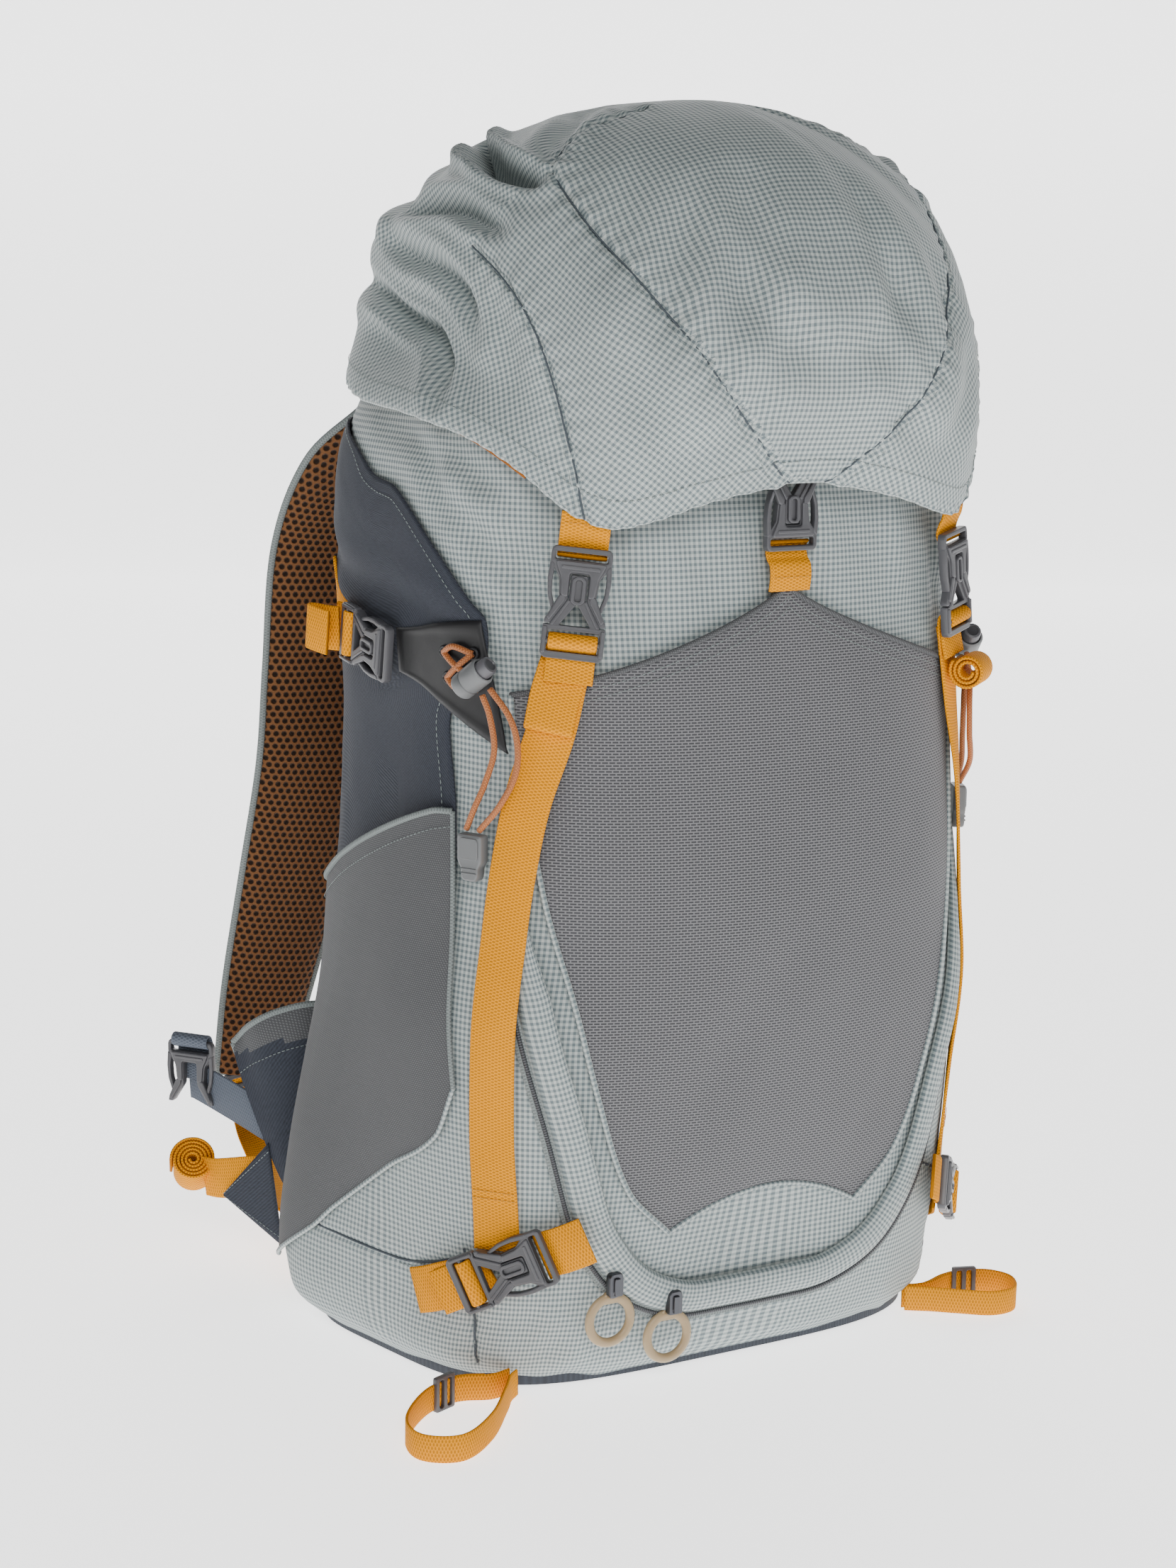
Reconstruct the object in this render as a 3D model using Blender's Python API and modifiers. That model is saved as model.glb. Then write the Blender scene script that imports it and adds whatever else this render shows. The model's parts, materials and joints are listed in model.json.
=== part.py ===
"""Hiking backpack of about 40 litres, top loading, standing upright on its base panel.

Frame: origin at the centre of the base panel's flat underside, +Z up, the wearer's back at +Y,
the front pocket at -Y, and the wearer's harness behind. Lengths in this file are written in
millimetres and turned to metres by MM when a mesh is made.
"""

import bisect
import math

import bmesh
import bpy
from mathutils import Matrix, Vector

MM = 0.001
LEFT, RIGHT = -1, 1
SIDES = {"left": LEFT, "right": RIGHT}

# Driving dimensions, in millimetres
BASE_HEIGHT = 12.0
COLLAR_TOP = 545.0
BAG_WALL = 4.0
GAP = 0.4  # clearance kept between pieces that lie on each other
SKIN_GAP = 1.8  # clearance under pockets and panels that wrap round the bag
WEBBING = 25.0
WEBBING_THICK = 1.8
NARROW_WEBBING = 15.0
SHOCK_CORD = 3.2
LID_TOP = 665.0
LID_WALL = 5.0
LID_HALF_WIDTH = 156.0
LID_FRONT = 150.0
LID_BACK = 118.0
BACK_FOAM = 14.0
STRETCH_FABRIC = 1.6  # thickness of the pockets' knit and of the side tabs
ON_BAG = 0.8  # how far webbing that is sewn flat stands off the bag
BUCKLE_PROUD = 8.0
BUCKLE_THICK = 7.0
PLUG_THICK = 5.0

# Bag sections: height, half width, front and back depths, flare to the back, front corner exponent
SECTIONS = (
    (0, 160, 92, 100, 0.15, 4.0),
    (20, 172, 105, 110, 0.18, 4.0),
    (50, 174, 115, 112, 0.18, 4.0),
    (100, 172, 125, 112, 0.13, 3.6),
    (150, 168, 133, 112, 0.06, 3.2),
    (200, 163, 138, 112, 0.0, 3.0),
    (250, 158, 140, 112, 0.0, 2.8),
    (300, 154, 139, 112, 0.0, 2.8),
    (350, 152, 136, 112, 0.0, 2.8),
    (400, 155, 133, 112, 0.0, 2.8),
    (460, 157, 128, 112, 0.0, 2.8),
    (500, 150, 120, 106, 0.0, 2.8),
    (545, 128, 98, 90, 0.0, 2.6),
)
BACK_CORNER = 4.5
FLARE_DEPTH = 125.0

# Colours of the finishes, linear RGB
CHECK = (0.42, 0.47, 0.47, 1)
GREY_MESH = (0.22, 0.22, 0.22, 1)
SLATE = (0.11, 0.13, 0.17, 1)
YELLOW = (0.72, 0.33, 0.03, 1)
PLASTIC = (0.11, 0.11, 0.12, 1)
BLACK = (0.02, 0.02, 0.02, 1)
BROWN = (0.26, 0.12, 0.06, 1)
CORD_ORANGE = (0.45, 0.17, 0.04, 1)
BEIGE = (0.45, 0.36, 0.24, 1)


def clear_scene():
    for obj in list(bpy.data.objects):
        bpy.data.objects.remove(obj, do_unlink=True)


def make_collection(name):
    collection = bpy.data.collections.new(name)
    bpy.context.scene.collection.children.link(collection)
    return collection


def material(name, colour, roughness, metallic=0.0):
    found = bpy.data.materials.get(name)
    if found:
        return found
    made = bpy.data.materials.new(name)
    made.use_nodes = True
    shader = made.node_tree.nodes["Principled BSDF"]
    shader.inputs["Base Color"].default_value = colour
    shader.inputs["Roughness"].default_value = roughness
    shader.inputs["Metallic"].default_value = metallic
    return made


def smooth_table(table, at):
    """Row of a table at this height, on a smooth curve through its rows."""
    keys = [row[0] for row in table]
    at = min(max(at, keys[0]), keys[-1])
    i = min(max(bisect.bisect_right(keys, at) - 1, 0), len(keys) - 2)
    step = keys[i + 1] - keys[i]
    f = (at - keys[i]) / step

    def slope(j, column):
        low, high = max(j - 1, 0), min(j + 1, len(keys) - 1)
        return (table[high][column] - table[low][column]) / (keys[high] - keys[low])

    values = []
    for column in range(1, len(table[0])):
        p0, p1 = table[i][column], table[i + 1][column]
        m0, m1 = slope(i, column) * step, slope(i + 1, column) * step
        values.append(
            (2 * f**3 - 3 * f**2 + 1) * p0
            + (f**3 - 2 * f**2 + f) * m0
            + (3 * f**2 - 2 * f**3) * p1
            + (f**3 - f**2) * m1
        )
    return values


def signed_power(value, exponent):
    return math.copysign(abs(value) ** exponent, value)


def mirrored(point, side):
    """Points are worked out for the left side, at -X; the right side is its mirror image."""
    return Vector((-point[0] if side == RIGHT else point[0], point[1], point[2]))


def bag_point(angle, z, proud=0.0, side=LEFT):
    """Point on the bag: 90 degrees is its back, 180 its left side and 270 its front."""
    half, front, back, flare, corner = smooth_table(SECTIONS, z)
    c, s = math.cos(math.radians(angle)), math.sin(math.radians(angle))
    exponent = 2 / (BACK_CORNER if s > 0 else corner)
    y = ((back if s > 0 else front) + proud) * signed_power(s, exponent)
    x = (half + proud) * signed_power(c, exponent) * (1 + flare * y / FLARE_DEPTH)
    return mirrored((x, y, z), side)


def front_point(x, z, proud=0.0):
    """Point on the bag's front at this x."""
    half, front, _, flare, corner = smooth_table(SECTIONS, z)
    half, front, y = half + proud, front + proud, -front
    for _ in range(4):
        share = min(abs(x / (1 + flare * y / FLARE_DEPTH)) / half, 0.999)
        y = -front * (1 - share**corner) ** (1 / corner)
    return Vector((x, y, z))


def back_point(x, z, proud=0.0):
    """Point on the bag's back at this x."""
    half, _, back, flare, _ = smooth_table(SECTIONS, z)
    half, back, y = half + proud, back + proud, back
    for _ in range(4):
        share = min(abs(x / (1 + flare * y / FLARE_DEPTH)) / half, 0.999)
        y = back * (1 - share**BACK_CORNER) ** (1 / BACK_CORNER)
    return Vector((x, y, z))


def side_point(y, z, proud=0.0, side=LEFT):
    """Point on the bag's side at this y."""
    half, front, back, flare, corner = smooth_table(SECTIONS, z)
    depth, exponent = (back, BACK_CORNER) if y > 0 else (front, corner)
    x = -(half + proud) * (1 - min(abs(y) / (depth + proud), 0.999) ** exponent) ** (1 / exponent)
    return mirrored((x * (1 + flare * y / FLARE_DEPTH), y, z), side)


def surface_normal(angle, z, side=LEFT):
    along = bag_point(angle + 1, z, 0, side) - bag_point(angle - 1, z, 0, side)
    up = bag_point(angle, z + 2, 0, side) - bag_point(angle, z - 2, 0, side)
    normal = along.cross(up).normalized()
    outward = bag_point(angle, z, 10, side) - bag_point(angle, z, 0, side)
    return normal if normal.dot(outward) > 0 else -normal


def add_object(name, mesh, finish):
    obj = bpy.data.objects.new(name, mesh)
    obj.data.materials.append(finish)
    PACK.objects.link(obj)
    return obj


def mesh_of(name, points, faces):
    mesh = bpy.data.meshes.new(name)
    mesh.from_pydata([Vector(p) * MM for p in points], [], faces)
    mesh.update()
    return mesh


def face_outward(mesh, centre):
    """Turns the faces of an open surface so that they look away from this point."""
    centre = Vector(centre) * MM
    score = sum(f.normal.dot(f.center - centre) * f.area for f in mesh.polygons)
    if score < 0:
        mesh.flip_normals()


def thicken(obj, thickness, outward=True):
    solid = obj.modifiers.new("thickness", "SOLIDIFY")
    solid.thickness = thickness * MM
    solid.offset = 1 if outward else -1
    solid.use_even_offset = False


def even_normals(mesh):
    """Turns neighbouring faces the same way; a closed mesh then faces out."""
    bm = bmesh.new()
    bm.from_mesh(mesh)
    bmesh.ops.recalc_face_normals(bm, faces=bm.faces)
    bm.to_mesh(mesh)
    bm.free()


def skin(name, rows, thickness, finish, centre=(0, 0, 300), outward=True, closed=False, tip=None):
    """Sheet through rows of points, thickened: outward on top of the rows, or inward from them.

    A closed sheet's rows are rings, and a tip is the point that closes its last ring.
    """
    width = len(rows[0])
    points = [p for row in rows for p in row]
    faces = []
    for r in range(len(rows) - 1):
        for c in range(width if closed else width - 1):
            d = (c + 1) % width
            faces.append((r * width + c, r * width + d, (r + 1) * width + d, (r + 1) * width + c))
    if tip is not None:
        last_ring = len(points) - width
        faces += [(last_ring + c, len(points), last_ring + (c + 1) % width) for c in range(width)]
        points.append(tip)
    mesh = mesh_of(name, points, faces)
    even_normals(mesh)
    face_outward(mesh, centre)
    obj = add_object(name, mesh, finish)
    thicken(obj, thickness, outward)
    return obj


def loft(name, rings, finish):
    """Closed solid through rings of equal length, with flat ends."""
    count = len(rings[0])
    points = [p for ring in rings for p in ring]
    faces = [tuple(range(count)), tuple(range(len(points) - 1, len(points) - 1 - count, -1))]
    for r in range(len(rings) - 1):
        for c in range(count):
            d = (c + 1) % count
            faces.append((r * count + c, (r + 1) * count + c, (r + 1) * count + d, r * count + d))
    mesh = mesh_of(name, points, faces)
    even_normals(mesh)
    return add_object(name, mesh, finish)


def smooth_path(points, steps):
    """Points along a smooth curve through these points, in equal numbers per stretch."""
    points = [Vector(p) for p in points]
    ends = [2 * points[0] - points[1]] + points + [2 * points[-1] - points[-2]]
    path = []
    for i in range(1, len(ends) - 2):
        p0, p1, p2, p3 = ends[i - 1 : i + 3]
        for k in range(steps):
            t = k / steps
            path.append(
                0.5
                * (
                    2 * p1
                    + (p2 - p0) * t
                    + (2 * p0 - 5 * p1 + 4 * p2 - p3) * t**2
                    + (3 * p1 - p0 - 3 * p2 + p3) * t**3
                )
            )
    return path + [points[-1]]


def webbing(name, path, normals, width, finish, thickness=WEBBING_THICK):
    """Flat strap along a path; each normal points to the side that faces away from the bag."""
    rows = []
    for i, point in enumerate(path):
        ahead = path[min(i + 1, len(path) - 1)] - path[max(i - 1, 0)]
        across = ahead.cross(normals[i]).normalized() * width / 2
        rows.append([point - across, point + across])
    faces = [(2 * i, 2 * i + 1, 2 * i + 3, 2 * i + 2) for i in range(len(rows) - 1)]
    mesh = mesh_of(name, [p for row in rows for p in row], faces)
    if mesh.polygons[0].normal.dot(normals[0]) < 0:
        mesh.flip_normals()
    obj = add_object(name, mesh, finish)
    thicken(obj, thickness)
    return obj


def cord(name, route, finish):
    """Tube along a smooth curve through the route's points."""
    curve = bpy.data.curves.new(name, "CURVE")
    curve.dimensions = "3D"
    curve.bevel_depth = SHOCK_CORD / 2 * MM
    curve.bevel_resolution = 2
    curve.use_fill_caps = True
    spline = curve.splines.new("POLY")
    path = smooth_path(route, 4)
    spline.points.add(len(path) - 1)
    for spline_point, p in zip(spline.points, path):
        spline_point.co = (*(p * MM), 1)
    return add_object(name, curve, finish)


def plate(name, outlines, thickness, finish, frame):
    """Flat piece from closed outlines, an outer one and its holes, centred on the frame's XY plane."""
    curve = bpy.data.curves.new(name, "CURVE")
    curve.dimensions = "2D"
    curve.fill_mode = "BOTH"
    curve.extrude = thickness / 2 * MM
    for outline in outlines:
        spline = curve.splines.new("POLY")
        spline.use_cyclic_u = True
        spline.points.add(len(outline) - 1)
        for spline_point, (x, y) in zip(spline.points, outline):
            spline_point.co = (x * MM, y * MM, 0, 1)
    obj = add_object(name, curve, finish)
    obj.matrix_world = frame
    return obj


def frame_at(origin, forward, normal):
    """Placement with Y along forward and Z along the normal, as near as it can be."""
    y = Vector(forward).normalized()
    z = Vector(normal)
    z = (z - y * z.dot(y)).normalized()
    x = y.cross(z)
    matrix = Matrix((x, y, z)).transposed().to_4x4()
    matrix.translation = Vector(origin) * MM
    return matrix


def pivot(name, point, children):
    """Empty on a joint's axis that carries the objects which move about it."""
    empty = bpy.data.objects.new(name, None)
    empty.location = Vector(point) * MM
    PACK.objects.link(empty)
    for child_name in children:
        child = bpy.data.objects[child_name]
        child.parent = empty
        child.matrix_parent_inverse = Matrix.Translation(-empty.location)


def both_halves(points):
    """Closed outline from its right half, listed from one end's middle to the other's."""
    return points + [(-x, y) for x, y in reversed(points) if x > 0]


def rectangle(half_width, low, high):
    return [(half_width, low), (half_width, high), (-half_width, high), (-half_width, low)]


# Side-release buckle outlines; Y runs from the plug to the socket, and 0 is the socket's waist
SOCKET_BAR_END = [(13.5, 27), (15, 25), (15, 19), (9, 11), (9, 2)]
SOCKET_LEG = [(15, -9), (15, -11), (12, -11), (4.6, 0.5), (4.6, 13.8)]
SOCKET_OUTLINE = both_halves(SOCKET_BAR_END + SOCKET_LEG)
SOCKET_SLOT = rectangle(12.8, 20.5, 24.3)
PLUG_OUTLINE = both_halves(
    [(4.2, 13.4), (4.2, 0.2), (11.4, -11.5), (15.5, -11.5), (15.5, -26), (13.5, -28)]
)
PLUG_HOLES = [
    rectangle(12.7, -24.5, -21),
    rectangle(12.7, -18.5, -14),
    [(-7.6, -11.5), (7.6, -11.5), (0, -0.5)],
    rectangle(1.3, 2, 11),
]


def buckle(socket_name, plug_name, frame):
    plate(socket_name, [SOCKET_OUTLINE, SOCKET_SLOT], BUCKLE_THICK, PLASTIC_GREY, frame)
    plate(plug_name, [PLUG_OUTLINE, *PLUG_HOLES], PLUG_THICK, PLASTIC_GREY, frame)


# ---- bag ----------------------------------------------------------------------------------------


def bag_ring(z, count=32, proud=0.0):
    return [bag_point(360 * i / count, z, proud) for i in range(count)]


def make_bag():
    floor = BASE_HEIGHT + GAP
    heights = [COLLAR_TOP, 500, 460, 415, 370, 320, 270, 220, 175, 130, 90, 55, 28, floor]
    rows = [bag_ring(z) for z in heights]
    skin("main_bag", rows, BAG_WALL, CHECK_FABRIC, outward=False, closed=True, tip=(0, 0, floor))
    loft("base_panel", [bag_ring(0), bag_ring(BASE_HEIGHT)], SLATE_TWILL)


def make_back_panel():
    """Padded back with the stiff sheet that stands inside the bag behind it."""
    low, high = 60, 505
    low_half, high_half = 118, 96
    heights = [low, 100, 150, 200, 250, 300, 350, 400, 450, high]
    rows = []
    for z in heights:
        half = low_half + (high_half - low_half) * (z - low) / (high - low)
        rows.append([back_point(half * u / 4, z, SKIN_GAP) for u in range(-4, 5)])
    skin("back_panel", rows, BACK_FOAM, BROWN_MESH)
    sheet_y, sheet_thick = 93.6, 1.5
    upright = frame_at((0, sheet_y, 0), (0, 0, 1), (0, -1, 0))
    plate("frame_sheet", [rectangle(94, 40, 480)], sheet_thick, BLACK_PLASTIC, upright)


def make_haul_loop():
    half = [(-19, 137, 500), (-19, 138, 511), (-10, 140, 521)]
    route = half + [(-x, y, z) for x, y, z in reversed(half)]
    path = smooth_path(route, 3)
    centre = Vector((0, 138, 495))
    normals = [p - centre for p in path]
    webbing("haul_loop", path, normals, NARROW_WEBBING, SLATE_TWILL)


def make_front_pocket():
    """Stretch pocket: widest at its upper corners, a peak at the top and a rounded foot."""
    edge = ((90, 58), (116, 83), (168, 102), (230, 117), (270, 125), (340, 133), (372, 135))
    foot, corner = edge[0][0], edge[-1][0]
    foot_middle, peak, fullness = 108, 425, 6
    rows = []
    for r in range(11):
        v = r / 10
        half = smooth_table(edge, foot + (corner - foot) * v)[0]
        row = []
        for c in range(-6, 7):
            u = c / 6
            z_low = foot_middle - (foot_middle - foot) * u**2
            z_high = peak - (peak - corner) * abs(u) ** 0.75
            bulge = fullness * (1 - u**2) ** 2 * math.sin(math.pi * v) ** 0.5
            row.append(front_point(half * u, z_low + (z_high - z_low) * v, SKIN_GAP + bulge))
        rows.append(row)
    skin("front_pocket", rows, STRETCH_FABRIC, GREY_MESH_KNIT)


def make_side_pocket(name, side):
    """Bottle pocket: a sloping hem above, a diagonal foot below."""
    top = ((-73, 309), (-58, 308), (-17, 294), (28, 274), (61, 256), (85, 245))
    foot = ((-73, 168), (-61, 140), (-23, 114), (22, 80), (40, 64), (85, 34))
    front, back = top[0][0], top[-1][0]
    fullness, lean = 12, 14
    rows = []
    for r in range(8):
        v = r / 7
        row = []
        for c in range(11):
            u = c / 10
            y = front + (back - front) * u
            low, high = smooth_table(foot, y)[0], smooth_table(top, y)[0]
            bulge = fullness * math.sin(math.pi * u) ** 0.8 * math.sin(math.pi / 2 * v) ** 0.8
            shift = lean * v * (1 - u) ** 4
            row.append(side_point(y + shift, low + (high - low) * v, SKIN_GAP + bulge, side))
        rows.append(row)
    skin("side_pocket_" + name, rows, STRETCH_FABRIC, GREY_MESH_KNIT)


def make_side_tab(name, side):
    """Three-cornered reinforcing tab; each column lists its upper and lower angle and height."""
    columns = (
        ((183, 391), (183.5, 383)),
        ((188, 400), (188.5, 376)),
        ((197, 405), (193, 367)),
        ((207, 408), (202, 356)),
        ((211, 378), (212.5, 346)),
    )
    rows = []
    for high, low in columns:
        row = []
        for k in range(4):
            f = k / 3
            angle = high[0] + (low[0] - high[0]) * f
            z = high[1] + (low[1] - high[1]) * f
            row.append(bag_point(angle, z, SKIN_GAP, side))
        rows.append(row)
    skin("side_tab_" + name, rows, STRETCH_FABRIC, BLACK_RUBBER)


# ---- straps, buckles and cords on the bag -------------------------------------------------------


def strap_on_bag(name, route, side):
    """Webbing that lies on the bag; the route lists angle, height and how proud it stands."""
    path = smooth_path(route, 3)
    points = [bag_point(a, z, proud, side) for a, z, proud in path]
    normals = [surface_normal(a, z, side) for a, z, _ in path]
    webbing(name, points, normals, WEBBING, YELLOW_WEBBING)


def make_lid_strap(name, side):
    route = [
        (230.5, 398, 3.4),
        (225.5, 358, 5.2),
        (219.5, 320, 6.5),
        (216.3, 280, 6.5),
        (214.9, 240, 5.5),
        (214, 188, 3.0),
        (213, 140, 1.0),
        (214, 96, ON_BAG),
    ]
    strap_on_bag("lid_strap_" + name, route, side)


def make_lid_buckle(name, side):
    angle, z = 233.4, 420
    centre = bag_point(angle, z, BUCKLE_PROUD + 1.5, side)
    up = bag_point(235, z + 20, 0, side) - bag_point(231.8, z - 20, 0, side)
    frame = frame_at(centre, up, surface_normal(angle, z, side))
    buckle("lid_buckle_socket_" + name, "lid_buckle_plug_" + name, frame)


def make_front_buckle():
    frame = frame_at(front_point(0, 469, BUCKLE_PROUD), (0, 0, -1), (0, -1, 0))
    buckle("front_buckle_socket", "front_buckle_plug", frame)
    route = [(-126, 492), (-116, 525), (-97, 556), (-55, 563), (0, 565), (50, 563), (84, 556)]
    path = smooth_path([(0, y, z) for y, z in route], 3)
    centre = Vector((0, -10, 480))
    webbing("top_strap", path, [p - centre for p in path], WEBBING, YELLOW_WEBBING)


def make_side_buckle(name, side):
    middle = side_point(16, 386.5, BUCKLE_PROUD, side)
    forward = side_point(-12, 382.5, BUCKLE_PROUD, side) - side_point(48, 391, BUCKLE_PROUD, side)
    frame = frame_at(middle, forward, (side, 0, 0))
    buckle("side_buckle_socket_" + name, "side_buckle_plug_" + name, frame)
    places = ((146, 418), (152, 408), (160, 398), (168, 392), (172, 391))
    strap_on_bag("side_strap_" + name, [(*place, ON_BAG) for place in places], side)


def make_lower_buckle(name, side):
    plug_end = mirrored((-154, -77, 64), side)
    socket_end = mirrored((-120, -113, 87), side)
    normal = mirrored((-0.73, -0.68, 0), side)
    middle = (plug_end + socket_end) / 2 + normal * 5.5
    frame = frame_at(middle, socket_end - plug_end, normal)
    buckle("lower_buckle_socket_" + name, "lower_buckle_plug_" + name, frame)
    places = ((176, 40), (184, 47), (196, 58), (206, 66), (212, 72))
    strap_on_bag("lower_strap_" + name, [(*place, ON_BAG) for place in places], side)


def turned(name, profile, finish, frame):
    """Round piece from a profile of radius and height, listed down its outer side first."""
    mesh = bpy.data.meshes.new(name)
    points = [(radius * MM, 0, height * MM) for radius, height in profile]
    edges = [(i, i + 1) for i in range(len(points) - 1)]
    mesh.from_pydata(points, edges, [])
    obj = add_object(name, mesh, finish)
    screw = obj.modifiers.new("turn", "SCREW")
    screw.axis = "Z"
    screw.steps = 20
    screw.render_steps = 20
    screw.use_merge_vertices = True
    screw.merge_threshold = 0.00001
    obj.matrix_world = frame
    return obj


def lock_place(side):
    return mirrored((-153, -84, 380), side), mirrored((0.33, -0.74, 0.59), side).normalized()


def make_cord_lock(name, side):
    centre, axis = lock_place(side)
    across = axis.orthogonal()
    frame = frame_at(centre, across, axis)
    barrel = [(0, -5), (5.4, -5), (5.4, 9), (6.6, 9), (7, 8.4), (7, -7.4), (6, -9), (0, -9)]
    turned("cord_lock_" + name, barrel, GREY_PLASTIC_LIGHT, frame)
    button = [(0, 14.5), (4.2, 14.5), (5, 13.5), (5, 0), (0, 0)]
    turned("cord_lock_button_" + name, button, GREY_PLASTIC_LIGHT, frame)


REAR_STRAND = (
    (-148.8, -87.3, 372.3),
    (-146.5, -91, 362),
    (-145, -93, 345),
    (-148, -89, 328),
    (-151.5, -84.5, 315),
    (-153, -79, 303.6),
)
FRONT_STRAND = (
    (-146.8, -91.7, 375.8),
    (-141.5, -102, 363),
    (-139, -106, 349),
    (-140, -105.5, 334),
    (-145.5, -99.5, 318),
    (-149.5, -86, 303.6),
)


def make_cords(name, side):
    """Two strands from the lock down to the cord end, each with a slack bow."""
    rear = [mirrored(p, side) for p in REAR_STRAND]
    front = [mirrored(p, side) for p in FRONT_STRAND]
    cord("shock_cord_rear_" + name, rear, ORANGE_CORD)
    cord("shock_cord_front_" + name, front, ORANGE_CORD)
    end = [(7.5, 12), (7.5, -3), (6, -12), (-6, -12), (-7.5, -3), (-7.5, 12)]
    centre = (rear[-1] + front[-1]) / 2 + Vector((0, 0, -13.9))
    across = front[-1] - rear[-1]
    up = Vector((0, 0, 1))
    frame = frame_at(centre, up, across.cross(up) * side)
    plate("cord_end_" + name, [end], 7, GREY_PLASTIC_LIGHT, frame)


def make_tool_loop(name, side):
    """Adjustable loop of narrow webbing, standing on its edge in front of the base corner."""
    middle = NARROW_WEBBING / 2 + GAP
    way_out = [(-139, -86), (-158, -80), (-180, -88), (-203, -112), (-206, -134)]
    way_back = [(-188, -145), (-164, -130), (-142, -104), (-133, -92)]
    path = smooth_path([mirrored((x, y, middle), side) for x, y in way_out + way_back], 3)
    centre = mirrored((-172, -110, middle), side)
    normals = [p - centre for p in path]
    webbing("tool_loop_" + name, path, normals, NARROW_WEBBING, YELLOW_WEBBING, 1.5)
    holes = [rectangle(8, -4.5, -1.2), rectangle(8, 1.2, 4.5)]
    outline = [(10, -7), (10, 7), (-10, 7), (-10, -7)]
    place = mirrored((-169, -78.5, middle + 3), side)
    outward = mirrored((-0.35, 0.94, 0.0), side)
    frame = frame_at(place, outward.cross(Vector((0, 0, 1))), outward)
    plate("tool_loop_slider_" + name, [outline, *holes], 3, PLASTIC_GREY, frame)


def make_zip_pull(name, x, z):
    """Slider on the front zip with its ring pull hanging below it."""
    body = [(4, -6), (4, 5), (2.5, 7), (-2.5, 7), (-4, 5), (-4, -6)]
    upright = frame_at(front_point(x, z, 6.5), (0, 0, 1), (0, -1, 0))
    plate("zip_slider_" + name, [body], 5, DARK_ZINC, upright)
    ring_radius, ring_bar, ring_drop = 12.2, 2.3, 20.5
    centre = front_point(x, z - ring_drop, 6.2)
    bpy.ops.mesh.primitive_torus_add(
        major_radius=ring_radius * MM, minor_radius=ring_bar * MM, major_segments=28, minor_segments=8
    )
    ring = bpy.context.object
    ring.name = "zip_pull_" + name
    ring.matrix_world = frame_at(centre, (0, 0, 1), (0, -1, 0))
    ring.data.materials.append(BEIGE_PLASTIC)
    for collection in list(ring.users_collection):
        collection.objects.unlink(ring)
    PACK.objects.link(ring)
    pivot("zip_pull_hinge_" + name, centre + Vector((0, 0, ring_radius)), [ring.name])


# ---- lid ----------------------------------------------------------------------------------------

# Height of the lid's rim, from the middle of its back at 90 degrees to the middle of its front at 270
LID_RIM = (
    (90, 527),
    (150, 524),
    (180, 511),
    (200, 500),
    (215, 484),
    (228, 464),
    (237, 457),
    (246, 460),
    (256, 468),
    (270, 477),
)
LID_CROWN_Y = -40.0
LID_HINGE = (0, 118, 530)


def lid_point(angle, share):
    """Point on the lid's outer skin: share runs from 0 at its rim to 1 at its crown."""
    folded = angle if 90 <= angle <= 270 else (540 - angle) % 360
    rim = smooth_table(LID_RIM, folded)[0]
    c, s = math.cos(math.radians(angle)), math.sin(math.radians(angle))
    front, back = max(0.0, -s), max(0.0, s)
    x = LID_HALF_WIDTH * signed_power(c, 2 / 3)
    y = (LID_BACK if s > 0 else LID_FRONT) * signed_power(s, 2 / 3)
    exponent = 3.0 - 0.3 * front**2 - 1.4 * back**2
    narrow = math.sqrt(max(0.0, 1 - share**exponent))
    swell = 1 + 0.25 * front**2 * math.sin(math.pi / 2 * min(share / 0.4, 1))
    y = LID_CROWN_Y + (y - LID_CROWN_Y) * narrow * swell
    return Vector((x * narrow, y, rim + (LID_TOP - rim) * share))


def make_lid():
    shares = [0, 0.07, 0.16, 0.28, 0.42, 0.56, 0.7, 0.82, 0.91, 0.97]
    rows = [[lid_point(360 * i / 32, share) for i in range(32)] for share in shares]
    crown = (0, LID_CROWN_Y, LID_TOP)
    inside = (0, 0, 480)
    skin("lid", rows, LID_WALL, CHECK_FABRIC, inside, outward=False, closed=True, tip=crown)


# ---- harness ------------------------------------------------------------------------------------

HIP_HINGE = (-124, 119.5)


def pad_ring(centre, across, depth, half_width, half_thick):
    """Eight-sided section of a padded strap."""
    quarter = [(1, 0.55), (0.8, 1)]
    half = quarter + [(-u, w) for u, w in reversed(quarter)]
    shape = half + [(-u, -w) for u, w in half]
    return [centre + across * (u * half_width) + depth * (w * half_thick) for u, w in shape]


def make_shoulder_strap(name, side):
    """Padded strap from the yoke down to its webbing, which is sewn in at the bag's lower corner."""
    stations = (
        ((-57, 130, 517), 28, 6),
        ((-76, 141, 494), 31, 6.5),
        ((-96, 166, 464), 34, 6.5),
        ((-103, 189, 417), 35, 6.5),
        ((-105, 198, 348), 35, 6.5),
        ((-107, 204, 290), 35, 6.5),
        ((-115, 218, 220), 33, 6.5),
        ((-125, 232, 150), 29, 6.5),
        ((-134, 240, 92), 23, 6),
        ((-136, 240, 76), 13, 2),
        ((-138, 222, 50), 12.5, 1.2),
        ((-144, 170, 28), 12.5, 1.2),
        ((-148, 118, 22), 12.5, 1.2),
    )
    centres = [mirrored(point, side) for point, _, _ in stations]
    rings = []
    for i, (_, half_width, half_thick) in enumerate(stations):
        ahead = (centres[min(i + 1, len(centres) - 1)] - centres[max(i - 1, 0)]).normalized()
        across = Vector((1, 0, 0))
        across = (across - ahead * across.dot(ahead)).normalized()
        rings.append(pad_ring(centres[i], across, ahead.cross(across), half_width, half_thick))
    loft("shoulder_strap_" + name, rings, BROWN_MESH)


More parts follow.
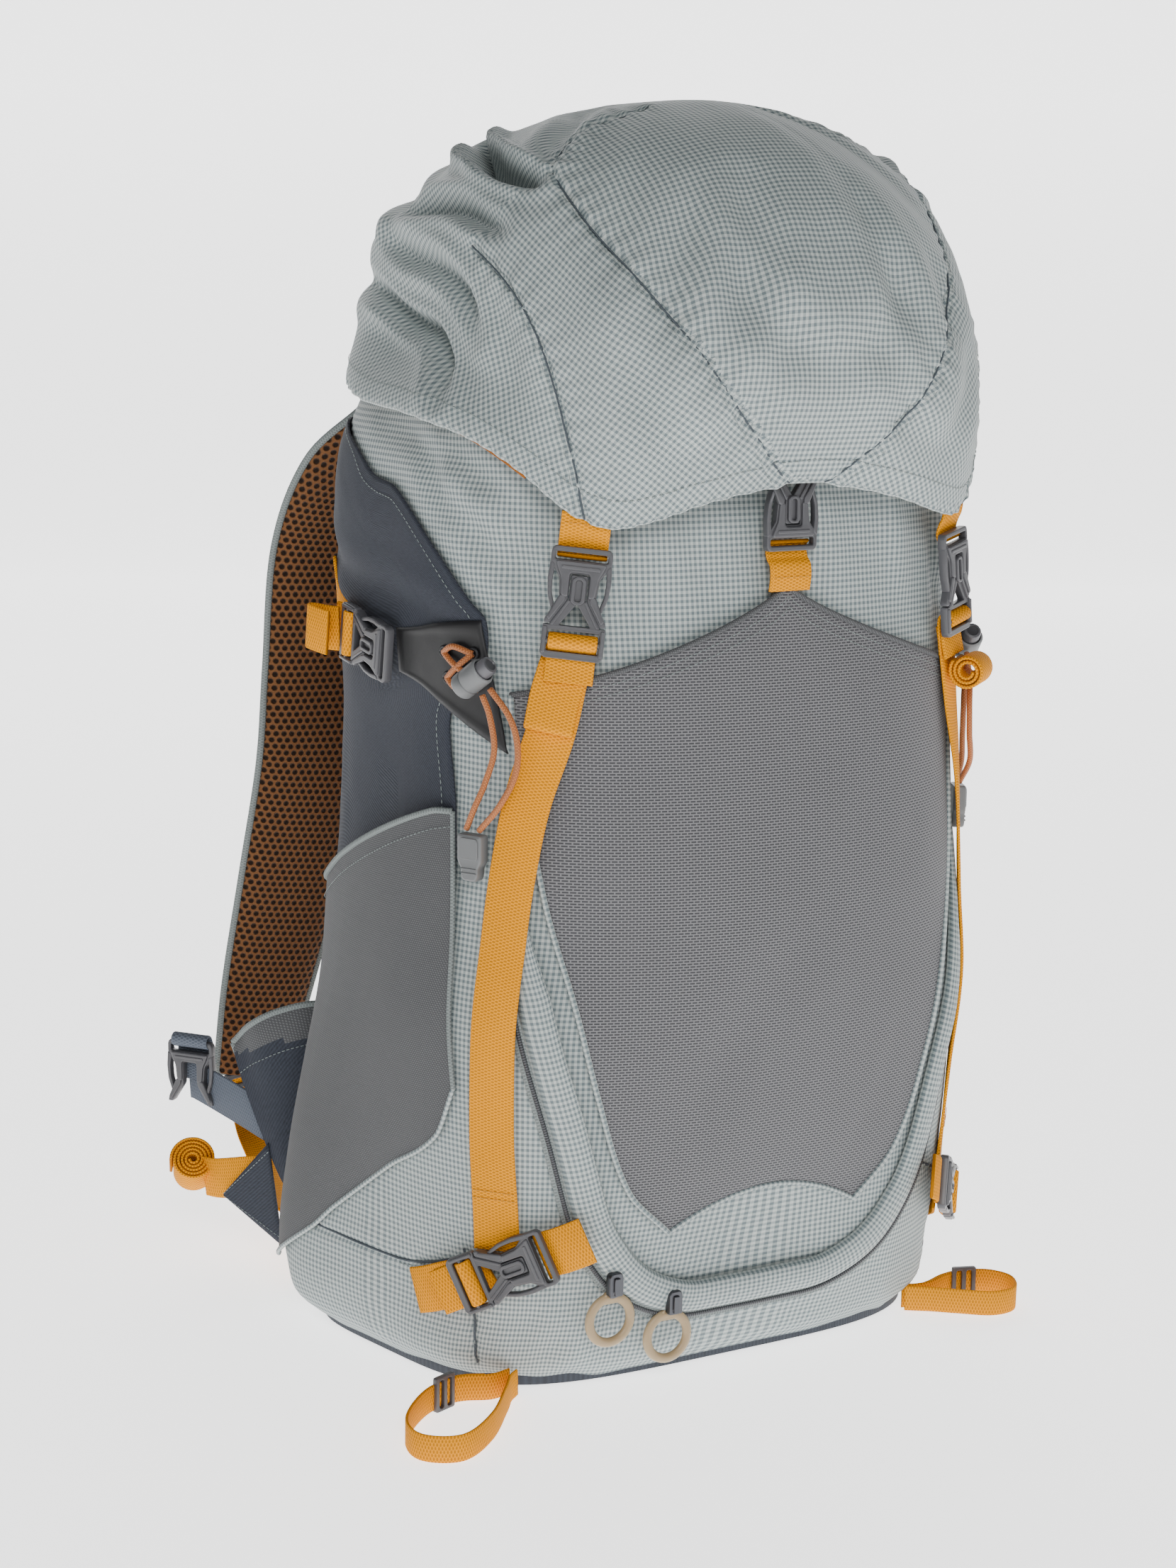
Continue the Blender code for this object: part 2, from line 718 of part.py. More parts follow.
def make_sternum_straps():
    """Two halves behind the shoulder straps, joined by a small buckle."""
    fork = [(-100, 9), (-20, 9), (-20, 12), (2, 12), (2, 6.4), (-12, 6.4)]
    tongue = [(100, 9), (16, 9), (16, 12), (2.4, 12), (2.4, 6), (-11.6, 6)]
    left = [(x, -y) for x, y in fork] + fork[::-1]
    right = tongue + [(x, -y) for x, y in reversed(tongue)]
    upright = frame_at((0, 215.5, 302), (0, 0, 1), (0, -1, 0))
    plate("sternum_strap_left", [left], 3, SLATE_TWILL, upright)
    plate("sternum_strap_right", [right], 3, SLATE_TWILL, upright)


def make_hip_wing(name, side):
    """Padded wing of the hip belt, curving back round the wearer."""
    stations = (
        (HIP_HINGE, 55, 160, 5.5),
        ((-142, 123), 48, 166, 6),
        ((-160, 131), 44, 162, 6.5),
        ((-175, 145), 42, 152, 6.5),
        ((-184, 162), 42, 142, 6.0),
    )
    rings = []
    for i, ((x, y), low, high, half_thick) in enumerate(stations):
        a, b = stations[max(i - 1, 0)][0], stations[min(i + 1, len(stations) - 1)][0]
        ahead = mirrored((b[0] - a[0], b[1] - a[1], 0), side).normalized()
        up = Vector((0, 0, 1))
        centre = mirrored((x, y, (low + high) / 2), side)
        rings.append(pad_ring(centre, up, ahead.cross(up), (high - low) / 2, half_thick))
    loft("hip_wing_" + name, rings, SLATE_TWILL)


HIP_ROLL_CENTRE = (-190, 197, 54)
HIP_ROLL_AXIS = (-0.3, -0.75, 0.59)


def make_hip_strap(name, side):
    """Hip belt webbing, wound up on itself for storage."""
    centre = Vector(HIP_ROLL_CENTRE)
    axis = Vector(HIP_ROLL_AXIS).normalized()
    u = axis.cross(Vector((0, 0, 1))).normalized()
    v = axis.cross(u).normalized()
    turns, per_turn = 3, 14
    first_radius, growth = 5.5, 2.6
    path, normals = [], []
    for k in range(turns * per_turn + 1):
        angle = 2 * math.pi * k / per_turn
        radius = first_radius + growth * k / per_turn
        direction = u * math.cos(angle) + v * math.sin(angle)
        path.append(mirrored(centre + direction * radius, side))
        normals.append(mirrored(direction, side))
    webbing("hip_strap_" + name, path, normals, WEBBING, YELLOW_WEBBING, 1.6)


def make_hip_buckles():
    """The hip belt's buckle, undone: its socket hangs at the left wing and its plug at the right."""
    halves = (
        ("hip_buckle_socket", LEFT, [SOCKET_OUTLINE, SOCKET_SLOT]),
        ("hip_buckle_plug", RIGHT, [PLUG_OUTLINE, *PLUG_HOLES]),
    )
    for name, side, outlines in halves:
        normal = mirrored((-0.8, -0.6, 0), side)
        frame = frame_at(mirrored((-187, 204, 101), side), (0, 0, 1), normal)
        plate(name, outlines, 6, PLASTIC_GREY, frame)


clear_scene()
PACK = make_collection("hiking_backpack")
CHECK_FABRIC = material("check_fabric", CHECK, 0.8)
GREY_MESH_KNIT = material("grey_mesh", GREY_MESH, 0.85)
SLATE_TWILL = material("slate_twill", SLATE, 0.8)
YELLOW_WEBBING = material("yellow_webbing", YELLOW, 0.7)
PLASTIC_GREY = material("grey_plastic", PLASTIC, 0.4)
GREY_PLASTIC_LIGHT = material("light_grey_plastic", (0.16, 0.16, 0.16, 1), 0.5)
BLACK_RUBBER = material("black_rubber", BLACK, 0.7)
BLACK_PLASTIC = material("black_plastic", BLACK, 0.5)
BROWN_MESH = material("brown_mesh", BROWN, 0.9)
ORANGE_CORD = material("orange_cord", CORD_ORANGE, 0.7)
BEIGE_PLASTIC = material("beige_plastic", BEIGE, 0.5)
DARK_ZINC = material("dark_zinc", (0.1, 0.1, 0.1, 1), 0.4, 1.0)

make_bag()
make_back_panel()
make_haul_loop()
make_front_pocket()
make_front_buckle()
make_zip_pull("left", -88, 66)
make_zip_pull("right", -52, 50)
make_lid()
make_sternum_straps()
make_hip_buckles()
for side_name, side_sign in SIDES.items():
    make_side_pocket(side_name, side_sign)
    make_side_tab(side_name, side_sign)
    make_lid_strap(side_name, side_sign)
    make_lid_buckle(side_name, side_sign)
    make_side_buckle(side_name, side_sign)
    make_lower_buckle(side_name, side_sign)
    make_cord_lock(side_name, side_sign)
    make_cords(side_name, side_sign)
    make_tool_loop(side_name, side_sign)
    make_shoulder_strap(side_name, side_sign)
    make_hip_wing(side_name, side_sign)
    make_hip_strap(side_name, side_sign)

pivot("lid_hinge", LID_HINGE, ["lid", "lid_buckle_socket_left", "lid_buckle_socket_right"])
hip_left = ["hip_wing_left", "hip_strap_left", "hip_buckle_socket"]
hip_right = ["hip_wing_right", "hip_strap_right", "hip_buckle_plug"]
pivot("hip_hinge_left", mirrored((*HIP_HINGE, 0), LEFT), hip_left)
pivot("hip_hinge_right", mirrored((*HIP_HINGE, 0), RIGHT), hip_right)
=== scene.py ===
# %% [markdown]
# # A hiking backpack, full and standing
# A pack is sewn from flat cloth, so nearly every piece here starts as a grid of points that lies on
# one smooth body shape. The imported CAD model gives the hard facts: where each part is, how big it is
# and what it moves with. This file draws the cloth, webbing, cords and mouldings around it.
# All lengths below are in millimetres, and MM turns them to metres when a mesh is made.
# %% Load the frame and keep its box
import json
import math

import bpy
import numpy as np
from mathutils import Matrix, Vector

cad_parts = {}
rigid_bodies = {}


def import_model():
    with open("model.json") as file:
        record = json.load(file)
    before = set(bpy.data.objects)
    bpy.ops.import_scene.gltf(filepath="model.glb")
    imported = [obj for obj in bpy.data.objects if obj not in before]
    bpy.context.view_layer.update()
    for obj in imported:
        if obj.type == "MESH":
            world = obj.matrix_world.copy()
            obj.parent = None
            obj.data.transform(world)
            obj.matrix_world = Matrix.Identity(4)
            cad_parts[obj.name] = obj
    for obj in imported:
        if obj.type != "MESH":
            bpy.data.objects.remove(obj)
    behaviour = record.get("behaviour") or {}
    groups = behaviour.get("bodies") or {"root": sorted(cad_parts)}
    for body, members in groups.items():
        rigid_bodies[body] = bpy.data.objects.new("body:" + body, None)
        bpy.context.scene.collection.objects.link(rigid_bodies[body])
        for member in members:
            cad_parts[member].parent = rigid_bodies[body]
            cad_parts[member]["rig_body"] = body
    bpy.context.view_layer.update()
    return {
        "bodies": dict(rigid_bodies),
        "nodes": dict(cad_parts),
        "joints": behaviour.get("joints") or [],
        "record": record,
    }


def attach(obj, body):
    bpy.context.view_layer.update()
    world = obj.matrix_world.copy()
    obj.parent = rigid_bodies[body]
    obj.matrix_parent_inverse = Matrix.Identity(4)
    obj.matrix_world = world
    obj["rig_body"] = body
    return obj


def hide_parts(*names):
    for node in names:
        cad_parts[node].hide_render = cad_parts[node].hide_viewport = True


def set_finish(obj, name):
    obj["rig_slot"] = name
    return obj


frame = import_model()
MM = 0.001
SIDES = ("left", "right")
HANDS = (("left", False), ("right", True))  # the right side mirrors the left

# %% [markdown]
# ## Camera
# The camera stands to the left of the front, a little above the lid, with a short telephoto lens.
# It is tilted by a fraction of a degree, as a hand-held one is, so its axes are worked out here
# instead of with a Track To constraint, which would keep it level.
# %% Place the camera
CAMERA_AZIMUTH = math.radians(-30.17)
CAMERA_ROLL = math.radians(0.64)
CAMERA_DISTANCE, CAMERA_HEIGHT = 1527, 590
LOOK_AT = Vector((-37, 0, 303.5))

eye = Vector((
    LOOK_AT.x + math.sin(CAMERA_AZIMUTH) * CAMERA_DISTANCE,
    -math.cos(CAMERA_AZIMUTH) * CAMERA_DISTANCE,
    CAMERA_HEIGHT,
))
ahead = (LOOK_AT - eye).normalized()
level = ahead.cross(Vector((0, 0, 1))).normalized()
rise = level.cross(ahead)
right = math.cos(CAMERA_ROLL) * level + math.sin(CAMERA_ROLL) * rise
up = math.cos(CAMERA_ROLL) * rise - math.sin(CAMERA_ROLL) * level
camera = bpy.data.objects.new("camera", bpy.data.cameras.new("camera"))
camera.data.sensor_fit = "VERTICAL"
camera.data.sensor_height = 36
camera.data.lens = 65.6
camera.data.clip_end = 50
camera.matrix_world = Matrix((right, up, -ahead)).transposed().to_4x4()
camera.location = eye * MM
bpy.context.scene.collection.objects.link(camera)
bpy.context.scene.camera = camera
print("camera at", [round(v) for v in eye], "mm")

# %% [markdown]
# ## The body shape
# The bag's sections are superellipses, flat at the wearer's back and rounder at the front. A table of
# heights holds their sizes, and a smooth curve runs through its rows. Everything that is sewn on
# the bag asks this shape for its points, so it lies on it without any fitting.
# %% Smooth tables and the bag's surface
# height, half width, front depth, back depth, flare towards the back, front corner exponent
SECTIONS = (
    (0, 160, 92, 100, 0.15, 4.0), (20, 172, 105, 110, 0.18, 4.0), (50, 174, 115, 112, 0.18, 4.0),
    (100, 172, 125, 112, 0.13, 3.6), (150, 168, 133, 112, 0.06, 3.2), (200, 163, 138, 112, 0.0, 3.0),
    (250, 158, 140, 112, 0.0, 2.8), (300, 154, 139, 112, 0.0, 2.8), (350, 152, 136, 112, 0.0, 2.8),
    (400, 155, 133, 112, 0.0, 2.8), (460, 157, 128, 112, 0.0, 2.8), (500, 150, 120, 106, 0.0, 2.8),
    (545, 128, 98, 90, 0.0, 2.6),
)
BACK_CORNER, FLARE_DEPTH = 4.5, 125


def smooth_table(rows, at):
    """Columns of a table at these keys, on a smooth curve through its rows."""
    rows = np.asarray(rows, float)
    keys, values = rows[:, 0], rows[:, 1:]
    low = np.r_[0, 0:len(keys) - 1]
    high = np.r_[1:len(keys), len(keys) - 1]
    slope = (values[high] - values[low]) / (keys[high] - keys[low])[:, None]
    at = np.clip(at, keys[0], keys[-1])
    i = np.clip(np.searchsorted(keys, at, side="right") - 1, 0, len(keys) - 2)
    step = (keys[i + 1] - keys[i])[..., None]
    f = (at - keys[i])[..., None] / step
    found = (2 * f**3 - 3 * f**2 + 1) * values[i] + (f**3 - 2 * f**2 + f) * slope[i] * step
    found = found + (3 * f**2 - 2 * f**3) * values[i + 1] + (f**3 - f**2) * slope[i + 1] * step
    return np.moveaxis(found, -1, 0)


def signed_power(value, exponent):
    return np.sign(value) * np.abs(value) ** exponent


def bag_point(angle, z, proud=0.0):
    """Points on the bag: 90 degrees is its back, 180 its left side and 270 its front."""
    angle, z = np.broadcast_arrays(np.asarray(angle, float), np.asarray(z, float))
    half, front, back, flare, corner = smooth_table(SECTIONS, z)
    c, s = np.cos(np.radians(angle)), np.sin(np.radians(angle))
    exponent = 2 / np.where(s > 0, BACK_CORNER, corner)
    y = (np.where(s > 0, back, front) + proud) * signed_power(s, exponent)
    x = (half + proud) * signed_power(c, exponent) * (1 + flare * y / FLARE_DEPTH)
    return np.stack([x, y, z], -1)


def front_point(x, z, proud=0.0):
    """Points on the bag's front at this x."""
    x, z = np.broadcast_arrays(np.asarray(x, float), np.asarray(z, float))
    half, front, _, flare, corner = smooth_table(SECTIONS, z)
    half, front, y = half + proud, front + proud, -front
    for _ in range(4):
        share = np.minimum(np.abs(x / (1 + flare * y / FLARE_DEPTH)) / half, 0.999)
        y = -front * (1 - share**corner) ** (1 / corner)
    return np.stack([x, y, z], -1)


def back_point(x, z, proud=0.0):
    """Points on the bag's back at this x."""
    x, z = np.broadcast_arrays(np.asarray(x, float), np.asarray(z, float))
    half, _, back, flare, _ = smooth_table(SECTIONS, z)
    half, back, y = half + proud, back + proud, back
    for _ in range(4):
        share = np.minimum(np.abs(x / (1 + flare * y / FLARE_DEPTH)) / half, 0.999)
        y = back * (1 - share**BACK_CORNER) ** (1 / BACK_CORNER)
    return np.stack([x, y, z], -1)


def side_point(y, z, proud=0.0):
    """Points on the bag's left side at this y."""
    y, z = np.broadcast_arrays(np.asarray(y, float), np.asarray(z, float))
    half, front, back, flare, corner = smooth_table(SECTIONS, z)
    depth, exponent = np.where(y > 0, back, front), np.where(y > 0, BACK_CORNER, corner)
    share = np.minimum(np.abs(y) / (depth + proud), 0.999)
    x = -(half + proud) * (1 - share**exponent) ** (1 / exponent)
    return np.stack([x * (1 + flare * y / FLARE_DEPTH), y, z], -1)


def unit(v):
    return v / np.maximum(np.linalg.norm(v, axis=-1, keepdims=True), 1e-9)


def run_along(path):
    """How far along a path each of its points is."""
    return np.r_[0, np.cumsum(np.linalg.norm(np.diff(path, axis=0), axis=1))]


def bag_normal(angle, z):
    around = bag_point(np.asarray(angle) + 1, z) - bag_point(np.asarray(angle) - 1, z)
    upward = bag_point(angle, np.asarray(z) + 2) - bag_point(angle, np.asarray(z) - 2)
    return unit(np.cross(around, upward))


print("bag at z 250:", np.round(bag_point([90, 180, 270], 250)).tolist())

# %% [markdown]
# ## Soft unevenness
# Cloth is never a mathematical surface. Value noise gives slow swells, a crease is a valley that
# follows a line, and a sewn seam draws small puckers out of the cloth beside it. They are added along
# the surface's normals, so the shape stays a shape and isn't only a bump in a material.
# %% Noise, lines on a surface, creases and puckers
def noise(u, v, seed):
    """Smooth value noise from -1 to 1, about one swell per unit."""
    lattice = np.random.RandomState(seed).uniform(-1, 1, (64, 64))
    iu, iv = np.floor(u).astype(int), np.floor(v).astype(int)
    fu, fv = u - iu, v - iv
    fu, fv = fu * fu * (3 - 2 * fu), fv * fv * (3 - 2 * fv)
    low = lattice[iu % 64, iv % 64] * (1 - fu) + lattice[(iu + 1) % 64, iv % 64] * fu
    high = lattice[iu % 64, (iv + 1) % 64] * (1 - fu) + lattice[(iu + 1) % 64, (iv + 1) % 64] * fu
    return low * (1 - fv) + high * fv


def ease(value, low, high):
    """0 below low, 1 above high, and smooth between."""
    f = np.clip((value - low) / (high - low), 0, 1)
    return f * f * (3 - 2 * f)


def smooth_path(points, spacing):
    """A smooth curve through these points, read at equal steps of about this spacing."""
    points = np.asarray(points, float)
    padded = np.vstack([2 * points[0] - points[1], points, 2 * points[-1] - points[-2]])
    t = np.linspace(0, 1, 24, endpoint=False)[:, None]
    fine = []
    for i in range(1, len(padded) - 2):
        p0, p1, p2, p3 = padded[i - 1:i + 3]
        cubic = (2 * p0 - 5 * p1 + 4 * p2 - p3) * t**2 + (3 * p1 - p0 - 3 * p2 + p3) * t**3
        fine.append(0.5 * (2 * p1 + (p2 - p0) * t + cubic))
    fine = np.vstack([*fine, points[-1:]])
    length = run_along(fine)
    at = np.linspace(0, length[-1], max(3, int(round(length[-1] / spacing)) + 1))
    return np.stack([np.interp(at, length, fine[:, k]) for k in range(fine.shape[1])], -1)


def near_line(points, line):
    """Distance of each point from a line, and how far along it the nearest place is, from 0 to 1."""
    flat = points.reshape(-1, 3)
    gap, along = np.full(len(flat), 1e9), np.zeros(len(flat))
    for k in range(len(line) - 1):
        step = line[k + 1] - line[k]
        t = np.clip((flat - line[k]) @ step / (step @ step), 0, 1)
        d = np.linalg.norm(flat - line[k] - t[:, None] * step, axis=1)
        closer = d < gap
        gap[closer], along[closer] = d[closer], ((k + t) / (len(line) - 1))[closer]
    return gap.reshape(points.shape[:-1]), along.reshape(points.shape[:-1])


def crease(points, line, width, depth):
    """A valley along a line, with a low swell on both sides, that fades at its ends."""
    gap, along = near_line(points, line)
    fade = np.sin(np.pi * np.clip(along, 0.02, 0.98)) ** 0.5
    valley = np.exp(-((gap / width) ** 2))
    swell = np.exp(-(((gap - 2.1 * width) / width) ** 2))
    return depth * fade * (0.45 * swell - valley)


def seam_relief(points, line, groove=1.0, pucker=0.5, pitch=11, seed=1):
    """What a sewn seam does to cloth: a narrow groove, and puckers that die out beside it."""
    gap, along = near_line(points, line)
    run = along * run_along(line)[-1]
    wave = np.sin(2 * np.pi * run / pitch + 2.5 * noise(run / 40, gap / 30, seed))
    return -groove * np.exp(-((gap / 1.7) ** 2)) + pucker * wave * np.exp(-gap / 9) * (gap > 0.8)


def settle(line, grid, normals, lift=0.0):
    """A line moved onto a finished surface along the nearest normals, and those normals."""
    flat, facing = grid.reshape(-1, 3), normals.reshape(-1, 3)
    near = [np.argmin(np.sum((flat - point) ** 2, 1)) for point in line]
    away = facing[near]
    found = line + away * (np.sum(away * (flat[near] - line), 1)[:, None] + lift)
    kernel = np.ones(5) / 5
    found[2:-2] = np.stack([np.convolve(found[:, k], kernel, "valid") for k in range(3)], -1)
    return found, away

# %% [markdown]
# ## Building meshes
# One small class collects points and faces for a piece. Each corner of each face also gets a
# `weave` value: where that corner lies on the flat cloth, in millimetres. Materials read it, so a
# 3 mm check stays 3 mm on every panel, runs with the grain of its own panel and stops at a seam.
# %% The Shape class
def grid_normals(points, wrap=False):
    if wrap:
        around = np.roll(points, -1, 1) - np.roll(points, 1, 1)
    else:
        around = np.gradient(points, axis=1)
    return unit(np.cross(around, np.gradient(points, axis=0)))


def flat_cloth(points, wrap=False):
    """Weave values of a grid: distance along its middle row, and height up its middle column."""
    rows, cols = points.shape[:2]
    middle = points[rows // 2]
    if wrap:
        middle = np.vstack([middle, middle[:1]])
    return np.stack(np.meshgrid(run_along(middle), run_along(points[:, cols // 2])), -1)


def face_corners(grid, flip):
    """The four corners of each face of a grid, in turning order."""
    loops = [grid[:-1, :-1], grid[:-1, 1:], grid[1:, 1:], grid[1:, :-1]]
    return np.stack(loops[::-1] if flip else loops, 2)


def box_section(width, thick, edge=3):
    """Closed outline of a flat strip with round edges, seen end on."""
    r = thick / 2
    turn = np.linspace(-np.pi / 2, np.pi / 2, edge + 2)
    half = np.stack([width / 2 - r + r * np.cos(turn), r * np.sin(turn)], -1)
    return np.vstack([half, -half])


def round_section(radius, count=12):
    turn = np.linspace(0, 2 * np.pi, count, endpoint=False)
    return radius * np.stack([np.cos(turn), np.sin(turn)], -1)


# Mouldings stay sharp where faces meet at more than this angle
CREASE_ANGLE = 40


class Shape:
    """Points, faces, weave values and finishes of one piece, in millimetres."""

    def __init__(self):
        self.points, self.faces, self.weave, self.finish, self.count = [], [], [], [], 0

    def add_points(self, points):
        points = np.asarray(points, float)
        index = np.arange(self.count, self.count + points[..., 0].size)
        self.points.append(points.reshape(-1, 3))
        self.count += index.size
        return index.reshape(points.shape[:-1])

    def add_faces(self, index, cloth, finish=0):
        """Faces of equal corner count, each with its weave values, and one finish or one each."""
        self.faces += index.tolist()
        self.weave.append(np.asarray(cloth, float).reshape(-1, 2))
        self.finish += np.broadcast_to(np.ravel(finish), len(index)).tolist()

    def quads(self, index, cloth, flip=False, finish=0):
        """Four-sided faces between the rows and columns of a grid."""
        faces, loops = face_corners(index, flip), face_corners(cloth, flip)
        self.add_faces(faces.reshape(-1, 4), loops.reshape(-1, 4, 2), finish)

    def grid(self, points, cloth=None, wrap=False, flip=False, finish=0):
        cloth = flat_cloth(points, wrap) if cloth is None else cloth
        index = self.add_points(points)
        closed = np.hstack([index, index[:, :1]]) if wrap else index
        self.quads(closed, cloth, flip, finish)
        return index

    def sheet(self, points, thick, cloth=None, wrap=False, finish=0, lining=None, away=None):
        """Cloth of some thickness behind the points, with its edges closed."""
        cloth = flat_cloth(points, wrap) if cloth is None else cloth
        normals = grid_normals(points, wrap)
        centre = np.array([0, 0, 300.0]) if away is None else np.asarray(away, float)
        flip = np.sum(normals * (points - centre)) < 0
        normals = -normals if flip else normals
        lining = finish if lining is None else lining
        outer = self.grid(points, cloth, wrap, flip, finish)
        inner = self.grid(points - normals * thick, cloth, wrap, not flip, lining)
        edges = [(outer[0], inner[0], cloth[0]), (inner[-1], outer[-1], cloth[-1])]
        if wrap:
            edges = [(np.r_[a, a[:1]], np.r_[b, b[:1]], c) for a, b, c in edges]
        else:
            edges += [(inner[:, 0], outer[:, 0], cloth[:, 0]), (outer[:, -1], inner[:, -1], cloth[:, -1])]
        for a, b, run in edges:
            self.quads(np.stack([a, b]), np.stack([run, run]), not flip, finish)
        return outer, inner

    def sweep(self, path, across, upward, section, ends=True, finish=0):
        """A closed section carried along a path."""
        side = across[:, None] * section[None, :, :1]
        lift = upward[:, None] * section[None, :, 1:]
        points = path[:, None] + side + lift
        rim = np.vstack([section, section[:1]])
        cloth = np.stack(np.meshgrid(run_along(rim), run_along(path)), -1)
        flip = np.cross(across[0], upward[0]) @ (path[1] - path[0]) < 0
        index = self.grid(points, cloth, True, flip, finish)
        if ends:
            for ring, turn in ((index[0], not flip), (index[-1], flip)):
                face = (ring[::-1] if turn else ring)[None]
                self.add_faces(face, np.zeros((1, len(ring), 2)), finish)
        return index

    def ribbon(self, path, normals, width, thick, finish=0, ends=True):
        """Flat webbing along a path; each normal points to the side that is seen."""
        path, normals = np.asarray(path, float), unit(np.asarray(normals, float))
        ahead = unit(np.gradient(path, axis=0))
        across = unit(np.cross(ahead, normals))
        upward = unit(np.cross(across, ahead))
        return self.sweep(path, across, upward, box_section(width, thick), ends, finish)

    def tube(self, path, radius, count=12, finish=0, ends=True):
        """A round rod along a path. Its ring is carried on from point to point, so it doesn't twist."""
        path = np.asarray(path, float)
        ahead = unit(np.gradient(path, axis=0))
        across = np.empty_like(path)
        start = np.cross(ahead[0], [0, 0, 1.0])
        across[0] = unit(start if np.linalg.norm(start) > 0.1 else np.cross(ahead[0], [1.0, 0, 0]))
        for k in range(1, len(path)):
            kept = across[k - 1] - ahead[k] * (across[k - 1] @ ahead[k])
            across[k] = unit(kept)
        section = round_section(radius, count)
        return self.sweep(path, across, np.cross(ahead, across), section, ends, finish)

    def stitches(self, path, normals, pitch=3.2, length=2.3, thick=0.55, finish=0, lift=0.1):
        """A row of separate thread stitches along a path."""
        path = np.asarray(path, float)
        run = run_along(path)
        centres = np.arange(pitch / 2, run[-1], pitch)

        def read(values):
            return np.stack([np.interp(centres, run, column) for column in values.T], -1)

        at = read(path)
        ahead = unit(read(np.gradient(path, axis=0)))
        away = unit(read(np.asarray(normals, float)))
        across = np.cross(ahead, away)
        along = np.array([-0.5, -0.3, 0.3, 0.5]) * length
        bulk = np.array([0.25, 1, 1, 0.25]) * thick / 2
        ring = np.array([(1, 0), (0, 1), (-1, 0), (0, -1)])
        shift = ahead[:, None, None] * along[None, :, None, None]
        side = across[:, None, None] * (bulk[:, None] * ring[:, 0])[None, :, :, None]
        rise = away[:, None, None] * (bulk[:, None] * ring[:, 1])[None, :, :, None]
        points = at[:, None, None] + away[:, None, None] * lift + shift + side + rise
        for stitch in points:
            index = self.add_points(stitch)
            closed = np.hstack([index, index[:, :1]])
            self.quads(closed, np.zeros((*closed.shape, 2)), False, finish)
            caps = np.stack([index[0][::-1], index[-1]])
            self.add_faces(caps, np.zeros((2, 4, 2)), finish)

    def make(self, name, finishes, body, slot, stands_for=(), mirror=False, sharp=None):
        """The finished piece: a mesh that rides on a body, names its slot and stands for CAD nodes."""
        points = np.vstack(self.points) * MM
        faces = self.faces
        weave = np.vstack(self.weave)
        if mirror:
            points = points * (-1, 1, 1)
            faces = [face[::-1] for face in faces]
            ends = np.cumsum([len(face) for face in faces])
            order = np.concatenate([np.arange(e - 1, e - len(f) - 1, -1) for e, f in zip(ends, faces)])
            weave = weave[order]
        mesh = bpy.data.meshes.new(name)
        mesh.from_pydata(points.tolist(), [], faces)
        values = np.zeros((len(weave), 3), np.float32)
        values[:, :2] = weave
        mesh.attributes.new("weave", "FLOAT_VECTOR", "CORNER").data.foreach_set("vector", values.ravel())
        for finish in finishes:
            mesh.materials.append(finish)
        mesh.polygons.foreach_set("material_index", self.finish)
        mesh.polygons.foreach_set("use_smooth", [True] * len(faces))
        if sharp:
            mesh.set_sharp_from_angle(angle=math.radians(sharp))
        mesh.update()
        piece = bpy.data.objects.new(name, mesh)
        bpy.context.scene.collection.objects.link(piece)
        if body:
            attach(piece, body)
            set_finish(piece, slot)
        if stands_for:
            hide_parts(*stands_for)
        return piece


def size_of(piece):
    return [round(v / MM) for v in piece.dimensions]

# %% [markdown]
# ## Finishes
# Every finish starts from what the real one is and how it was made. Cloth patterns are worked out
# from thread spacings in millimetres and read the mesh's `weave` values. Colours are sRGB hex values.
# One small function adds a node, sets it and links its inputs, so each material reads as a recipe.
# %% Colour and node helpers
def linear(colour):
    """An sRGB hex colour as the linear numbers that a shader takes."""
    parts = [int(colour[i:i + 2], 16) / 255 for i in (1, 3, 5)]
    return [p / 12.92 if p <= 0.04045 else ((p + 0.055) / 1.055) ** 2.4 for p in parts] + [1]


def node(tree, kind, inputs, out=0, **settings):
    """Adds a node. Each input, by place or name, is a value, a hex colour or a socket to link."""
    made = tree.nodes.new("ShaderNode" + kind)
    for name, value in settings.items():
        setattr(made, name, value)
    for key, value in inputs.items():
        if isinstance(value, bpy.types.NodeSocket):
            tree.links.new(value, made.inputs[key])
        else:
            made.inputs[key].default_value = linear(value) if isinstance(value, str) else value
    return made.outputs[out] if made.outputs else made


def material(name, recipe, *values):
    """A material: its recipe adds the nodes and gives the shader's settings."""
    made = bpy.data.materials.new(name)
    made.use_nodes = True
    tree = made.node_tree
    tree.nodes.clear()
    weave = node(tree, "Attribute", {}, out="Vector", attribute_name="weave")
    place = node(tree, "TexCoord", {}, out="Object")
    shader = node(tree, "BsdfPrincipled", recipe(tree, weave, place, *values))
    node(tree, "OutputMaterial", {"Surface": shader})
    return made


def wave_scale(pitch):
    """A Wave texture's bands repeat every pi / 10 at scale 1, so this gives them a pitch."""
    return math.pi / 10 / pitch


# Mix nodes have a place for each kind of value; these are the colour ones
FIRST, SECOND, MIXED = 6, 7, 2


def uneven(tree, colour, place, scale, detail, low, high):
    """Dye and wear are never even: this makes a colour lighter and darker in soft clouds."""
    cloud = node(tree, "TexNoise", {"Vector": place, "Scale": scale, "Detail": detail})
    cloud = node(tree, "MapRange", {"Value": cloud, "To Min": low, "To Max": high})
    return node(tree, "HueSaturation", {"Color": colour, "Value": cloud})

# %% [markdown]
# ### Polyester mini check
# The bag and lid are a light, plain woven polyester, coated on its back. Two shades of yarn cross in
# stripes about 1.5 mm wide, which gives a 3 mm check: light where light meets light, and darkest
# where two dark stripes cross. The coating makes the cloth a little crisp, with a soft sheen.
# %% Check fabric
CHECK_PITCH = 3.0
CHECK_THREAD = 0.6


